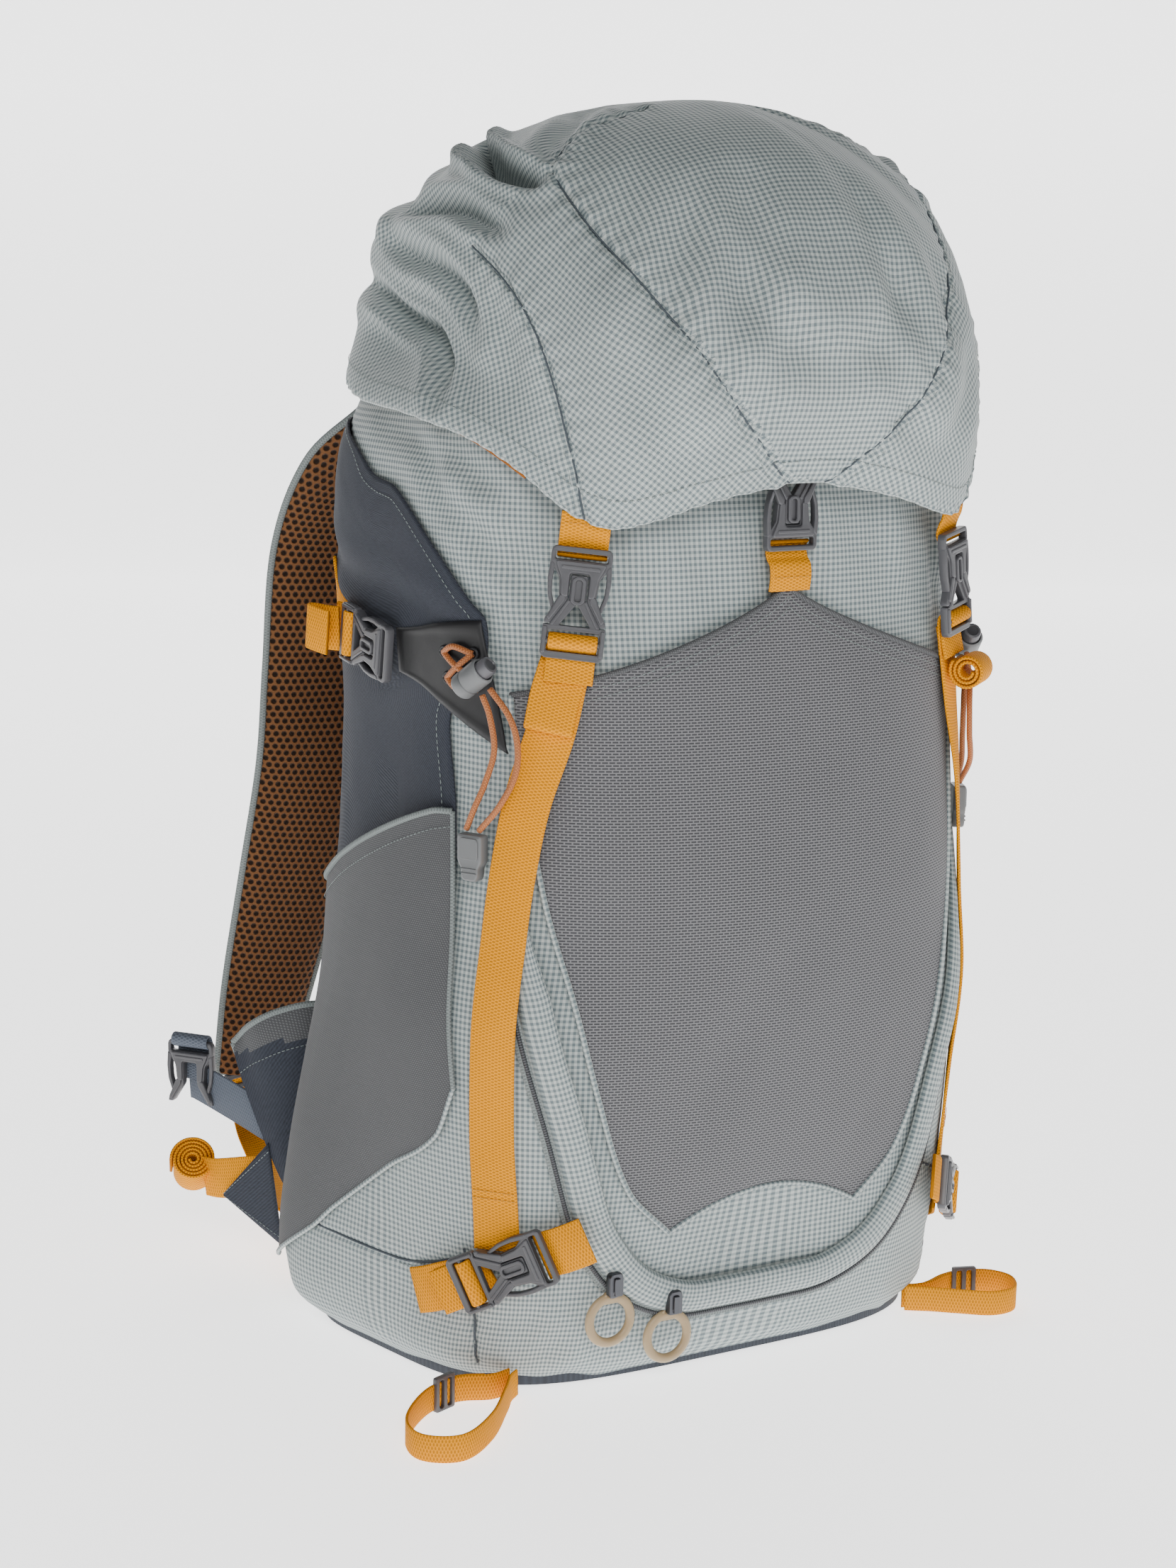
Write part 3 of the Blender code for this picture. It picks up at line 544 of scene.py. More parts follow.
def check_recipe(tree, weave, place, light, middle, dark):
    stripes, threads = [], []
    for direction in "XY":
        wave = node(tree, "TexWave", {"Vector": weave, "Scale": wave_scale(CHECK_PITCH)},
                    out="Fac", bands_direction=direction)
        stripes.append(node(tree, "MapRange", {"Value": wave, "From Min": 0.4, "From Max": 0.6}))
        threads.append(node(tree, "TexWave", {"Vector": weave, "Scale": wave_scale(CHECK_THREAD)},
                            out="Fac", bands_direction=direction))
    either = node(tree, "Math", {0: stripes[0], 1: stripes[1]}, operation="MAXIMUM")
    both = node(tree, "Math", {0: stripes[0], 1: stripes[1]}, operation="MULTIPLY")
    colour = node(tree, "Mix", {0: either, FIRST: light, SECOND: middle}, MIXED, data_type="RGBA")
    colour = node(tree, "Mix", {0: both, FIRST: colour, SECOND: dark}, MIXED, data_type="RGBA")
    colour = uneven(tree, colour, place, 14.0, 3.0, 0.9, 1.08)
    rumple = node(tree, "TexNoise", {"Vector": place, "Scale": 55.0, "Detail": 4.0, "Roughness": 0.55})
    weft_on_warp = node(tree, "Math", {0: threads[0], 1: threads[1]}, operation="ADD")
    height = node(tree, "Math", {0: rumple, 1: 9.0, 2: weft_on_warp}, operation="MULTIPLY_ADD")
    bump = node(tree, "Bump", {"Height": height, "Strength": 0.35, "Distance": 0.0003})
    rough = node(tree, "MapRange", {"Value": both, "To Min": 0.56, "To Max": 0.68})
    return {"Base Color": colour, "Roughness": rough, "Normal": bump, "IOR": 1.5,
            "Specular IOR Level": 0.35, "Sheen Weight": 0.1, "Sheen Roughness": 0.4}


CHECK = material("polyester_mini_check", check_recipe, "#b9bfbc", "#929c9b", "#647074")

# %% [markdown]
# ### Stretch knits
# The front pocket is a warp-knitted stretch mesh: loops leave rows of short dark gaps, each row half
# a step beside the last, as bricks are laid. The side pockets use a finer tricot with a slanted rib.
# The loops are drawn a little larger than life, so that they show.
# %% Stretch mesh and tricot
LOOP_LENGTH, COURSE_HEIGHT, LOOP_GAP = 3.2, 1.45, 0.42
TRICOT_RIB, TRICOT_COURSE, TRICOT_SLANT = 1.35, 1.1, math.radians(32)


def knit_recipe(tree, weave, place, yarn, gap):
    loops = node(tree, "TexBrick", {"Vector": weave, "Scale": 1.0, "Mortar Size": LOOP_GAP,
                                    "Mortar Smooth": 0.5, "Brick Width": LOOP_LENGTH,
                                    "Row Height": COURSE_HEIGHT}, out="Fac")
    colour = node(tree, "Mix", {0: loops, FIRST: gap, SECOND: yarn}, MIXED, data_type="RGBA")
    colour = uneven(tree, colour, place, 20.0, 2.0, 0.94, 1.06)
    bump = node(tree, "Bump", {"Height": loops, "Strength": 0.5, "Distance": 0.0004})
    return {"Base Color": colour, "Roughness": 0.78, "Normal": bump, "IOR": 1.5,
            "Specular IOR Level": 0.25, "Sheen Weight": 0.12, "Sheen Roughness": 0.5}


def tricot_recipe(tree, weave, place, yarn, gap):
    slant = node(tree, "VectorRotate", {"Vector": weave, "Angle": TRICOT_SLANT}, rotation_type="Z_AXIS")
    rib = node(tree, "TexWave", {"Vector": slant, "Scale": wave_scale(TRICOT_RIB)}, out="Fac")
    course = node(tree, "TexWave", {"Vector": weave, "Scale": wave_scale(TRICOT_COURSE)}, out="Fac",
                  bands_direction="Y")
    loops = node(tree, "Math", {0: rib, 1: course}, operation="MULTIPLY")
    colour = node(tree, "Mix", {0: loops, FIRST: gap, SECOND: yarn}, MIXED, data_type="RGBA")
    bump = node(tree, "Bump", {"Height": loops, "Strength": 0.5, "Distance": 0.0004})
    return {"Base Color": colour, "Roughness": 0.8, "Normal": bump, "IOR": 1.5,
            "Specular IOR Level": 0.2, "Sheen Weight": 0.05, "Sheen Roughness": 0.5}


STRETCH_MESH = material("stretch_mesh_knit", knit_recipe, "#757577", "#3f3f42")
TRICOT = material("slanted_tricot_knit", tricot_recipe, "#6b6c6d", "#47484a")

# %% [markdown]
# ### Nylon twill
# The side panels, hip wings and base are a tight nylon twill. A twill's ribs run slantwise, because
# each thread steps over one place further than the last. A brushed melange yarn gives faint specks.
# %% Twill
TWILL_PITCH = 1.1


def twill_recipe(tree, weave, place, base, fleck):
    rib = node(tree, "TexWave", {"Vector": weave, "Scale": wave_scale(TWILL_PITCH)}, out="Fac",
               bands_direction="DIAGONAL")
    yarn = node(tree, "VectorMath", {0: weave, 1: (0.35, 1.4, 1.0)}, operation="MULTIPLY")
    specks = node(tree, "TexNoise", {"Vector": yarn, "Scale": 1.0, "Detail": 2.0})
    shade = node(tree, "Math", {0: rib, 1: 0.45, 2: specks}, operation="MULTIPLY_ADD")
    shade = node(tree, "MapRange", {"Value": shade, "From Min": 0.3, "From Max": 1.1})
    colour = node(tree, "Mix", {0: shade, FIRST: base, SECOND: fleck}, MIXED, data_type="RGBA")
    bump = node(tree, "Bump", {"Height": rib, "Strength": 0.4, "Distance": 0.0003})
    return {"Base Color": colour, "Roughness": 0.75, "Normal": bump, "IOR": 1.53,
            "Specular IOR Level": 0.2, "Sheen Weight": 0.04, "Sheen Roughness": 0.45}


SLATE = material("slate_nylon_twill", twill_recipe, "#22252c", "#373b45")
DARK_SLATE = material("dark_base_twill", twill_recipe, "#2d3036", "#3b3f47")
LINING = material("coated_lining", twill_recipe, "#3f464c", "#4a5157")

# %% [markdown]
# ### Polyester webbing
# Webbing is woven narrow and thick. Its weft shows as cross ribs about a millimetre apart, and the
# warp yarns stand in columns, each lifted half a rib beside the last. Drawn a little coarser than life.
# Its colour goes darker down in the furrows between ribs and columns: painted shade.
# %% Webbing
RIB_PITCH, WARP_PITCH = 1.7, 1.9


def webbing_recipe(tree, weave, place, yarn, shade):
    column = node(tree, "TexWave", {"Vector": weave, "Scale": wave_scale(2 * WARP_PITCH)}, out="Fac")
    step = node(tree, "Math", {0: column, 1: 0.5}, operation="GREATER_THAN")
    lift = node(tree, "CombineXYZ", {"Y": step})
    lift = node(tree, "VectorMath", {0: lift, 1: (0, RIB_PITCH / 2, 0), 2: weave},
                operation="MULTIPLY_ADD")
    rib = node(tree, "TexWave", {"Vector": lift, "Scale": wave_scale(RIB_PITCH)}, out="Fac",
               bands_direction="Y")
    furrow = node(tree, "TexWave", {"Vector": weave, "Scale": wave_scale(WARP_PITCH)}, out="Fac")
    height = node(tree, "Math", {0: furrow, 1: 0.35, 2: rib}, operation="MULTIPLY_ADD")
    # Painted shade: the colour darkens toward the shade colour where the weave is low, in its furrows.
    tone = node(tree, "MapRange", {"Value": height, "From Max": 1.1, "To Min": 0.25, "To Max": 1.0})
    colour = node(tree, "Mix", {0: tone, FIRST: shade, SECOND: yarn}, MIXED, data_type="RGBA")
    colour = uneven(tree, colour, place, 30.0, 3.0, 0.92, 1.08)
    bump = node(tree, "Bump", {"Height": height, "Strength": 0.55, "Distance": 0.0004})
    return {"Base Color": colour, "Roughness": 0.74, "Normal": bump, "IOR": 1.5,
            "Specular IOR Level": 0.08}


# The second colour of each webbing is the painted shade in the furrows of its weave.
YELLOW = material("yellow_polyester_webbing", webbing_recipe, "#f09c00", "#8a5200")
GREY_WEBBING = material("slate_polyester_webbing", webbing_recipe, "#666d78", "#3f444d")
BINDING = material("grey_binding_tape", webbing_recipe, "#848b8a", "#5a605f")
TAN_BINDING = material("tan_binding_tape", webbing_recipe, "#a05f26", "#663a14")

# %% [markdown]
# ### Spacer mesh
# The harness is faced with 3-D spacer mesh, knitted thick and open so that air moves through it. Its
# holes sit in a honeycomb about 4.6 mm apart. Two square-ish lattices, one set half a step beside
# the other, give the hole centres: the nearer one's distance is the height of the mesh.
# %% Spacer mesh
HOLE_PITCH = 4.6


def spacer_recipe(tree, weave, place, yarn, hole):
    half = (HOLE_PITCH / 2, HOLE_PITCH * math.sqrt(3) / 2, 1)
    other = tuple(-h for h in half)
    gaps = []
    for shift in ((0, 0, 0), half):
        moved = node(tree, "VectorMath", {0: weave, 1: shift}, operation="ADD")
        cell = node(tree, "VectorMath", {0: moved, 1: half, 2: other}, operation="WRAP")
        flat = node(tree, "VectorMath", {0: cell, 1: (1, 1, 0)}, operation="MULTIPLY")
        gaps.append(node(tree, "VectorMath", {0: flat}, out="Value", operation="LENGTH"))
    gap = node(tree, "Math", {0: gaps[0], 1: gaps[1]}, operation="MINIMUM")
    rise = node(tree, "MapRange", {"Value": gap, "From Min": 0.9, "From Max": 1.9},
                interpolation_type="SMOOTHSTEP")
    colour = node(tree, "Mix", {0: rise, FIRST: hole, SECOND: yarn}, MIXED, data_type="RGBA")
    colour = uneven(tree, colour, weave, 1.3, 3.0, 0.85, 1.12)
    bump = node(tree, "Bump", {"Height": rise, "Strength": 1.0, "Distance": 0.0016})
    return {"Base Color": colour, "Roughness": 0.85, "Normal": bump, "IOR": 1.5,
            "Specular IOR Level": 0.15, "Sheen Weight": 0.05, "Sheen Roughness": 0.5}


SPACER = material("brown_spacer_mesh", spacer_recipe, "#6f4a2d", "#1c110a")

# %% [markdown]
# ### Moulded plastics and metal
# Buckles are injection-moulded acetal with a fine spark-eroded texture, so they look satin. The tab
# is soft moulded rubber and nearly black. Sliders are die-cast zinc with a dark plated finish.
# %% Mouldings
def moulded_recipe(tree, weave, place, colour, edge_colour, rough, grain):
    texture = node(tree, "TexNoise", {"Vector": place, "Scale": 1 / (grain * MM), "Detail": 2.0})
    cloud = node(tree, "TexNoise", {"Vector": place, "Scale": 90.0, "Detail": 2.0})
    # The colour turns lighter along the sharpest outer edges, where Pointiness is high.
    edge = node(tree, "NewGeometry", {}, out="Pointiness")
    edge = node(tree, "MapRange", {"Value": edge, "From Min": 0.52, "From Max": 0.6})
    tone = node(tree, "Mix", {0: edge, FIRST: colour, SECOND: edge_colour}, MIXED, data_type="RGBA")
    shine = node(tree, "MapRange", {"Value": cloud, "To Min": rough - 0.06, "To Max": rough + 0.08})
    bump = node(tree, "Bump", {"Height": texture, "Strength": 0.18, "Distance": 0.0002})
    return {"Base Color": tone, "Roughness": shine, "Normal": bump, "IOR": 1.48}


ACETAL = material("grey_moulded_acetal", moulded_recipe, "#3b3b3e", "#66666a", 0.36, 0.5)
PALE_PLASTIC = material("light_grey_moulded_nylon", moulded_recipe, "#5a5c5d", "#7a7c7d", 0.42, 0.5)
BEIGE = material("beige_moulded_nylon", moulded_recipe, "#9c8562", "#b8a585", 0.38, 0.6)
RUBBER = material("black_moulded_rubber", moulded_recipe, "#101012", "#1f1f22", 0.55, 0.7)
SHEET_PLASTIC = material("black_polythene_sheet", moulded_recipe, "#1d1e20", "#2c2d30", 0.45, 1.2)


def zinc_recipe(tree, weave, place):
    cloud = node(tree, "TexNoise", {"Vector": place, "Scale": 300.0, "Detail": 3.0})
    shine = node(tree, "MapRange", {"Value": cloud, "To Min": 0.32, "To Max": 0.48})
    return {"Base Color": linear("#55565a"), "Metallic": 1.0, "Roughness": shine}


ZINC = material("dark_plated_zinc", zinc_recipe)

# %% [markdown]
# ### Cord, thread and zip
# Shock cord is rubber inside a braided sheath. The braid's two sets of yarns cross slantwise, so two
# slanted waves, multiplied, give its lozenges. Thread and the zip's coil are polyester.
# %% Braid, thread and coil
BRAID_PITCH, BRAID_SLANT, COIL_PITCH = 1.2, 50, 1.3


def braid_recipe(tree, weave, place, yarn, shade):
    waves = []
    for turn in (BRAID_SLANT, -BRAID_SLANT):
        slant = node(tree, "VectorRotate", {"Vector": weave, "Angle": math.radians(turn)},
                     rotation_type="Z_AXIS")
        waves.append(node(tree, "TexWave", {"Vector": slant, "Scale": wave_scale(BRAID_PITCH)}, out="Fac"))
    braid = node(tree, "Math", {0: waves[0], 1: waves[1]}, operation="MULTIPLY")
    colour = node(tree, "Mix", {0: braid, FIRST: shade, SECOND: yarn}, MIXED, data_type="RGBA")
    bump = node(tree, "Bump", {"Height": braid, "Strength": 0.5, "Distance": 0.0003})
    return {"Base Color": colour, "Roughness": 0.6, "Normal": bump, "IOR": 1.5, "Sheen Weight": 0.1}


def thread_recipe(tree, weave, place, colour):
    fuzz = node(tree, "TexNoise", {"Vector": place, "Scale": 2500.0, "Detail": 2.0})
    bump = node(tree, "Bump", {"Height": fuzz, "Strength": 0.4, "Distance": 0.0001})
    return {"Base Color": linear(colour), "Roughness": 0.6, "Normal": bump, "IOR": 1.5}


def coil_recipe(tree, weave, place, colour, gap):
    turns = node(tree, "TexWave", {"Vector": weave, "Scale": wave_scale(COIL_PITCH)}, out="Fac",
                 bands_direction="Y")
    tone = node(tree, "Mix", {0: turns, FIRST: gap, SECOND: colour}, MIXED, data_type="RGBA")
    bump = node(tree, "Bump", {"Height": turns, "Strength": 0.8, "Distance": 0.0006})
    return {"Base Color": tone, "Roughness": 0.42, "Normal": bump, "IOR": 1.5}


ORANGE_CORD = material("orange_braided_cord", braid_recipe, "#cd7f41", "#8e4f22")
GREY_THREAD = material("grey_sewing_thread", thread_recipe, "#7e8886")
YELLOW_THREAD = material("yellow_sewing_thread", thread_recipe, "#c98d20")
ZIP_COIL = material("dark_zip_coil", coil_recipe, "#55575b", "#2c2d30")
print("materials:", len(bpy.data.materials))

# %% [markdown]
# ## Shock cords
# Two strands of 3.2 mm shock cord come out of each cord lock, bow apart under their own slack and go
# into one moulded end, which hangs from them. The left pair is seen from end to end, so that is its
# length. They are the only free cords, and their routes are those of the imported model.
# %% Cords, each a swept tube with its own path
CORD_WIDTH = 3.2
REAR_STRAND = ((-148.8, -87.3, 372.3), (-146.5, -91, 362), (-145, -93, 345), (-148, -89, 328),
               (-151.5, -84.5, 315), (-153, -79, 303.6))
FRONT_STRAND = ((-146.8, -91.7, 375.8), (-141.5, -102, 363), (-139, -106, 349), (-140, -105.5, 334),
                (-145.5, -99.5, 318), (-149.5, -86, 303.6))
cord_pieces, cord_routes = {}, {}
for side, mirror in HANDS:
    for strand, route in (("rear", REAR_STRAND), ("front", FRONT_STRAND)):
        cord = Shape()
        route = smooth_path(route, 1.6)
        cord.tube(route, CORD_WIDTH / 2, 14)
        name = f"{strand}_shock_cord_{side}"
        cord_pieces[name] = cord.make(name, [ORANGE_CORD], "pack", "shock_cord",
                                      [f"shock_cord_{strand}_{side}"], mirror)
        cord_routes[name] = route * ((-1, 1, 1) if mirror else (1, 1, 1)) * MM
        print(name, round(float(run_along(route)[-1]), 1), "mm")

# %% [markdown]
# ## The bag
# The main bag is one tube of cloth around the load. A grid of points is laid on the body shape and
# then pushed along its normals: slow swells where the load presses, vertical rumples above the
# pocket where the lid pulls the cloth up, and a groove with puckers along each sewn seam.
# %% Main bag with its lining
def on_bag(places, proud=0.0, spacing=3.0, side="left"):
    """A line on the bag through these angles and heights."""
    places = smooth_path(places, spacing)
    angle = places[:, 0] if side == "left" else 540 - places[:, 0]
    return bag_point(angle, places[:, 1], proud), bag_normal(angle, places[:, 1])


LOWER_SEAM = ((118, 70), (155.5, 68), (177.5, 64), (185.5, 64), (205, 78), (234.5, 98))
CORNER_SEAM = ((202, 80), (204, 60), (207, 36), (209.5, 15))
SHOULDER_FOLDS = (((178, 500), (188, 486), (197, 462)), ((190, 494), (202, 484), (214, 470)),
                  ((200, 466), (208, 446), (216, 428)), ((214, 458), (219, 436), (223, 412)))
FLANK_EDGE = ((60, 199), (235, 199), (310, 197.5), (350, 195), (364, 197), (385, 207), (408, 208.5),
              (416, 204.5), (438, 195), (470, 180.5), (486, 172.5), (500, 153))
FOOT_HEIGHT, RIM_HEIGHT = 3.0, 545.0
BAG_COLUMNS, BAG_ROWS, CLOTH_THICK = 240, 171, 1.6
full_turn = np.linspace(90, 450, BAG_COLUMNS + 1)
levels = np.linspace(FOOT_HEIGHT, RIM_HEIGHT, BAG_ROWS)
angle, height = np.meshgrid(full_turn[:-1], levels)
tuck = -4.0 * (1 - ease(height, FOOT_HEIGHT, 16)) ** 2
bag = bag_point(angle, height, tuck)
normals = grid_normals(bag, wrap=True)
normals *= np.sign(np.sum(normals * (bag - (0, 0, 300)), -1, keepdims=True))
relief = -1.1 + 1.1 * noise(angle / 24, height / 70, 3)
above_pocket = ease(height, 372, 420) * (1 - ease(height, 470, 500)) * ease(angle, 200, 225)
above_pocket = above_pocket * (1 - ease(angle, 315, 340))
relief += above_pocket * (-2.0 + 2.6 * noise(angle / 5.5 + height / 90, height / 75, 8))
below_seam = 1 - ease(height, 60, 95)
relief += below_seam * (-0.9 + 1.7 * noise(angle / 9, height / 22, 12))
for side in SIDES:
    for fold in SHOULDER_FOLDS:
        relief += crease(bag, on_bag(fold, side=side)[0], 6.5, 3.4)
folded = np.where(angle <= 270, angle, 540 - angle)
under_flank = ease(smooth_table(FLANK_EDGE, height)[0] - folded, 1, 4) * ease(height, 200, 225)
relief -= 2.6 * under_flank * (1 - ease(height, 494, 503))
collar = ease(height, 505, 540)
relief += collar * 2.2 * np.sin(np.radians(angle * 22))
for side in SIDES:
    for k, seam in enumerate((LOWER_SEAM, CORNER_SEAM)):
        relief += seam_relief(bag, on_bag(seam, side=side)[0], 1.5, 0.55, 12, 20 + k)
bag = bag + normals * relief[..., None]
bag[..., 2] = np.maximum(bag[..., 2], FOOT_HEIGHT)
cloth = np.stack(np.meshgrid(run_along(bag_point(full_turn, 250)), levels), -1)
shell = Shape()
shell.sheet(bag, CLOTH_THICK, cloth, wrap=True, finish=0, lining=1)
for side in SIDES:
    for seam in (LOWER_SEAM, CORNER_SEAM):
        line, away = settle(on_bag(seam, side=side, spacing=1.5)[0], bag, normals, 0.15)
        shell.tube(line, 0.7, 6, finish=1)
        shell.stitches(line + (0, 0, -2.4), away, 3.4, 2.4, finish=2)
main_bag = shell.make("main_bag_shell", [CHECK, LINING, GREY_THREAD], "pack", "check_fabric",
                      ["main_bag"])
print("bag:", len(main_bag.data.polygons), "faces")

# %% [markdown]
# The base is a separate dark twill floor. It shows only as a thin line under the check, so it is a
# shallow tray: a few rings that shrink to the middle, and a little sag towards the ground.
# %% Base
shares = np.array([0.2, 0.6, 0.9, 1.0, 1.0])
levels = np.array([0.6, 0.4, 0.6, 1.6, 11.0])
rows = []
for share, level in zip(shares, levels):
    ring = bag_point(np.linspace(90, 450, 161)[:-1], 6, -5.5) * (share, share, 0)
    rows.append(ring + (0, 0, level))
tray = Shape()
points = np.array(rows)
index = tray.grid(points, points[:, list(range(160)) + [0], :2], wrap=True, flip=False)
tray.add_faces(index[0][None], points[0][None, :, :2])
base = tray.make("base_floor", [DARK_SLATE], "pack", "slate_twill", ["base_panel"])
print("base:", len(base.data.polygons), "faces")

# %% [markdown]
# ## Side panels
# Each flank is a panel of slate twill, cut in a sweep from behind the lid down to the tab. It lies
# on the bag as its own sheet with a turned hem and a row of top stitching inside its edge.
# %% Slate flanks
FLANK_BACK, FLANK_LOW, FLANK_HIGH, FLANK_FOOT_RISE = 120, 66, 499, 150
HEM_PITCH = 3.4


def flank_point(share, height, proud):
    edge = smooth_table(FLANK_EDGE, height)[0]
    return bag_point(FLANK_BACK + (edge - FLANK_BACK) * share, height, proud)


for side, mirror in HANDS:
    share, rise = np.meshgrid(np.linspace(0, 1, 56), np.linspace(0, 1, 130))
    foot = FLANK_LOW + FLANK_FOOT_RISE * ease(share, 0.1, 0.7)
    height = foot + (FLANK_HIGH - foot) * rise
    rumple = 0.5 * noise(share * 5, height / 45, 31) + 0.25 * noise(share * 14, height / 18, 32)
    fold = np.linspace(0.2, 0.95, 20)
    slump = crease(flank_point(share, height, 0), flank_point(fold, 455 - 60 * fold, 0), 7, 1.6)
    lift = 1.1 + rumple * np.sin(np.pi * share) + np.minimum(slump, 0.6)
    points = flank_point(share, height, lift)
    panel = Shape()
    panel.sheet(points, 1.2)
    heights = np.linspace(FLANK_LOW + FLANK_FOOT_RISE, FLANK_HIGH - 4, 150)
    inset = flank_point(np.full(150, 0.95), heights, 1.5)
    panel.stitches(inset, inset * (1, 1, 0), HEM_PITCH, finish=1)
    flank = panel.make(f"slate_flank_{side}", [SLATE, GREY_THREAD], "pack", "slate_twill",
                       mirror=mirror)
print("flank faces:", len(flank.data.polygons))

# %% [markdown]
# ## Front pocket
# A big pocket of stretch mesh, widest at its upper corners, rises to a peak under the middle buckle.
# Its contents would push it out, so it stands a few millimetres proud in the middle. The top edge
# is a turned hem, which is thicker than the knit and holds a row of stitches.
# %% Stretch-mesh front pocket
POCKET_EDGE = ((90, 58), (116, 83), (168, 102), (230, 117), (270, 125), (340, 133), (372, 135))
POCKET_FOOT, POCKET_CORNER, POCKET_PEAK = 90, 372, 425


def pocket_point(u, v, proud):
    """The pocket's cloth: u from -1 to 1 across, v from 0 at its foot to 1 at its top."""
    u, v = np.broadcast_arrays(np.asarray(u, float), np.asarray(v, float))
    half = smooth_table(POCKET_EDGE, POCKET_FOOT + (POCKET_CORNER - POCKET_FOOT) * v)[0]
    low = 108 - 18 * u**2
    high = POCKET_PEAK - (POCKET_PEAK - POCKET_CORNER) * np.abs(u) ** 0.75
    bulge = 6 * (1 - u**2) ** 2 * np.sin(np.pi * v) ** 0.5
    return front_point(half * u, low + (high - low) * v, 1.8 + bulge + proud)


u, v = np.meshgrid(np.linspace(-1, 1, 101), np.linspace(0, 1, 101))
drape = 0.5 * noise(u * 4, v * 5, 41) + 0.22 * noise(u * 11, v * 9, 42)
pull_line = pocket_point(np.linspace(-0.9, 0.2, 20), np.linspace(0.05, 0.5, 20), 0)
drag = crease(pocket_point(u, v, 0), pull_line, 14, 0.8)
slack = drape + drag - 1.2 * ease(v, 0.93, 1.0) * (1 - u**2)
points = pocket_point(u, v, slack * np.sin(np.pi * np.clip(v, 0.02, 1)) ** 0.3)
cloth = points[..., [0, 2]]
knit = Shape()
knit.sheet(points, 1.2, cloth)
t = np.linspace(-1, 1, 161)
hem = pocket_point(t, 1.0, 0.2)
knit.tube(hem, 1.5, 10, finish=1)
for inset, level in ((0.982, 0.35), (0.965, 0.35)):
    row = pocket_point(t, inset, level)
    knit.stitches(row, np.tile([0, -1.0, 0], (161, 1)), 2.6, 1.9, 0.5, finish=2)
side_line = np.linspace(0.0, 1.0, 121)
for edge in (-1, 1):
    knit.tube(pocket_point(edge, side_line, 0.4), 1.5, 10, finish=3)
knit.tube(pocket_point(t, 0.0, 0.2), 1.4, 10, finish=3)
front_pocket = knit.make("front_mesh_pocket", [STRETCH_MESH, TRICOT, GREY_THREAD, CHECK], "pack",
                         "grey_stretch_mesh", ["front_pocket"])
print("front pocket:", size_of(front_pocket), "mm")

# %% [markdown]
# ## The padded rim of the front opening
# A zip runs in a U round the pocket, under a rim of check cloth filled with foam. The rim is made
# between two lines: its outer edge, which is given, and an inner edge a constant width inside it.
# Its section is a low arch, so it catches light along its top and ends in a crease on each side.
# %% Padded rim and zip
RIM_EDGE = ((212.5, 318), (212.5, 280), (213.5, 248), (221.5, 198), (229, 148), (236.5, 100),
            (244.5, 74), (253.5, 55), (264, 41), (270, 39))
half_edge = smooth_path(RIM_EDGE, 1.6)
edge = np.vstack([half_edge, (half_edge * (-1, 1) + (540, 0))[::-1][1:]])
outer = bag_point(edge[:, 0], edge[:, 1])
along = unit(np.gradient(outer, axis=0))
normals = bag_normal(edge[:, 0], edge[:, 1])
inward = unit(np.cross(normals, along))
inward *= np.sign(np.sum(inward * ((0, -120, 230) - outer), -1, keepdims=True))
RIM_WIDTH, ZIP_TOP = 20, 262
widths = np.clip(6 + (318 - edge[:, 1]) * 0.14, 6, RIM_WIDTH)[:, None]
rim_rows = []
for s in np.linspace(0, 1, 13):
    place = outer + inward * widths * s
    arch = (1 - (2 * s - 1) ** 2) ** 0.5
    lift = 0.6 + 5.6 * arch * widths[:, 0] / RIM_WIDTH
    lift = lift + 0.35 * noise(np.arange(len(place)) / 14, np.full(len(place), s * 2), 51)
    rim_rows.append(front_point(place[:, 0], place[:, 2], lift))
points = np.array(rim_rows).transpose(1, 0, 2)
run = run_along(outer)
cloth = np.stack(np.broadcast_arrays(np.linspace(0, 24, 13)[None, :], run[:, None]), -1)
rim = Shape()
rim.sheet(points, 1.0, cloth, away=(0, 0, 230))
opening_rim = rim.make("padded_opening_rim", [CHECK], "pack", "check_fabric")
lower = edge[:, 1] < ZIP_TOP
zip_line = outer - inward * 1.6
zip_line = front_point(zip_line[:, 0], zip_line[:, 2], 0.6)[lower]
coil = Shape()
coil.ribbon(zip_line, normals[lower], 7, 0.9, finish=0)
coil.tube(zip_line + normals[lower] * 0.5, 1.2, 10, finish=1)
zip_chain = coil.make("front_zip_chain", [BINDING, ZIP_COIL], "pack", "slate_twill")
print("rim runs", round(float(run[-1])), "mm")

# %% [markdown]
# ## Side pockets
# A bottle pocket on each flank has a sloping hem and a foot that runs down to the back corner. The
# knit is pulled out round a bottle, so it stands 12 mm proud and leans forward at its upper corner.
# %% Tricot bottle pockets
BOTTLE_TOP = ((-73, 309), (-58, 308), (-17, 294), (28, 274), (61, 256), (85, 245))
BOTTLE_FOOT = ((-73, 168), (-61, 140), (-23, 114), (22, 80), (40, 64), (85, 34))
BOTTLE_FRONT, BOTTLE_LENGTH = -73, 158


def bottle_point(u, v, proud):
    """The side pocket's cloth: u from 0 at its front to 1 at its back, v from its foot to its hem."""
    u, v = np.broadcast_arrays(np.asarray(u, float), np.asarray(v, float))
    y = BOTTLE_FRONT + BOTTLE_LENGTH * u
    low, high = smooth_table(BOTTLE_FOOT, y)[0], smooth_table(BOTTLE_TOP, y)[0]
    bulge = 12 * np.sin(np.pi * np.clip(u, 0, 1)) ** 0.8 * np.sin(np.pi / 2 * v) ** 0.8
    return side_point(y + 14 * v * (1 - u) ** 4, low + (high - low) * v, 1.8 + bulge + proud)


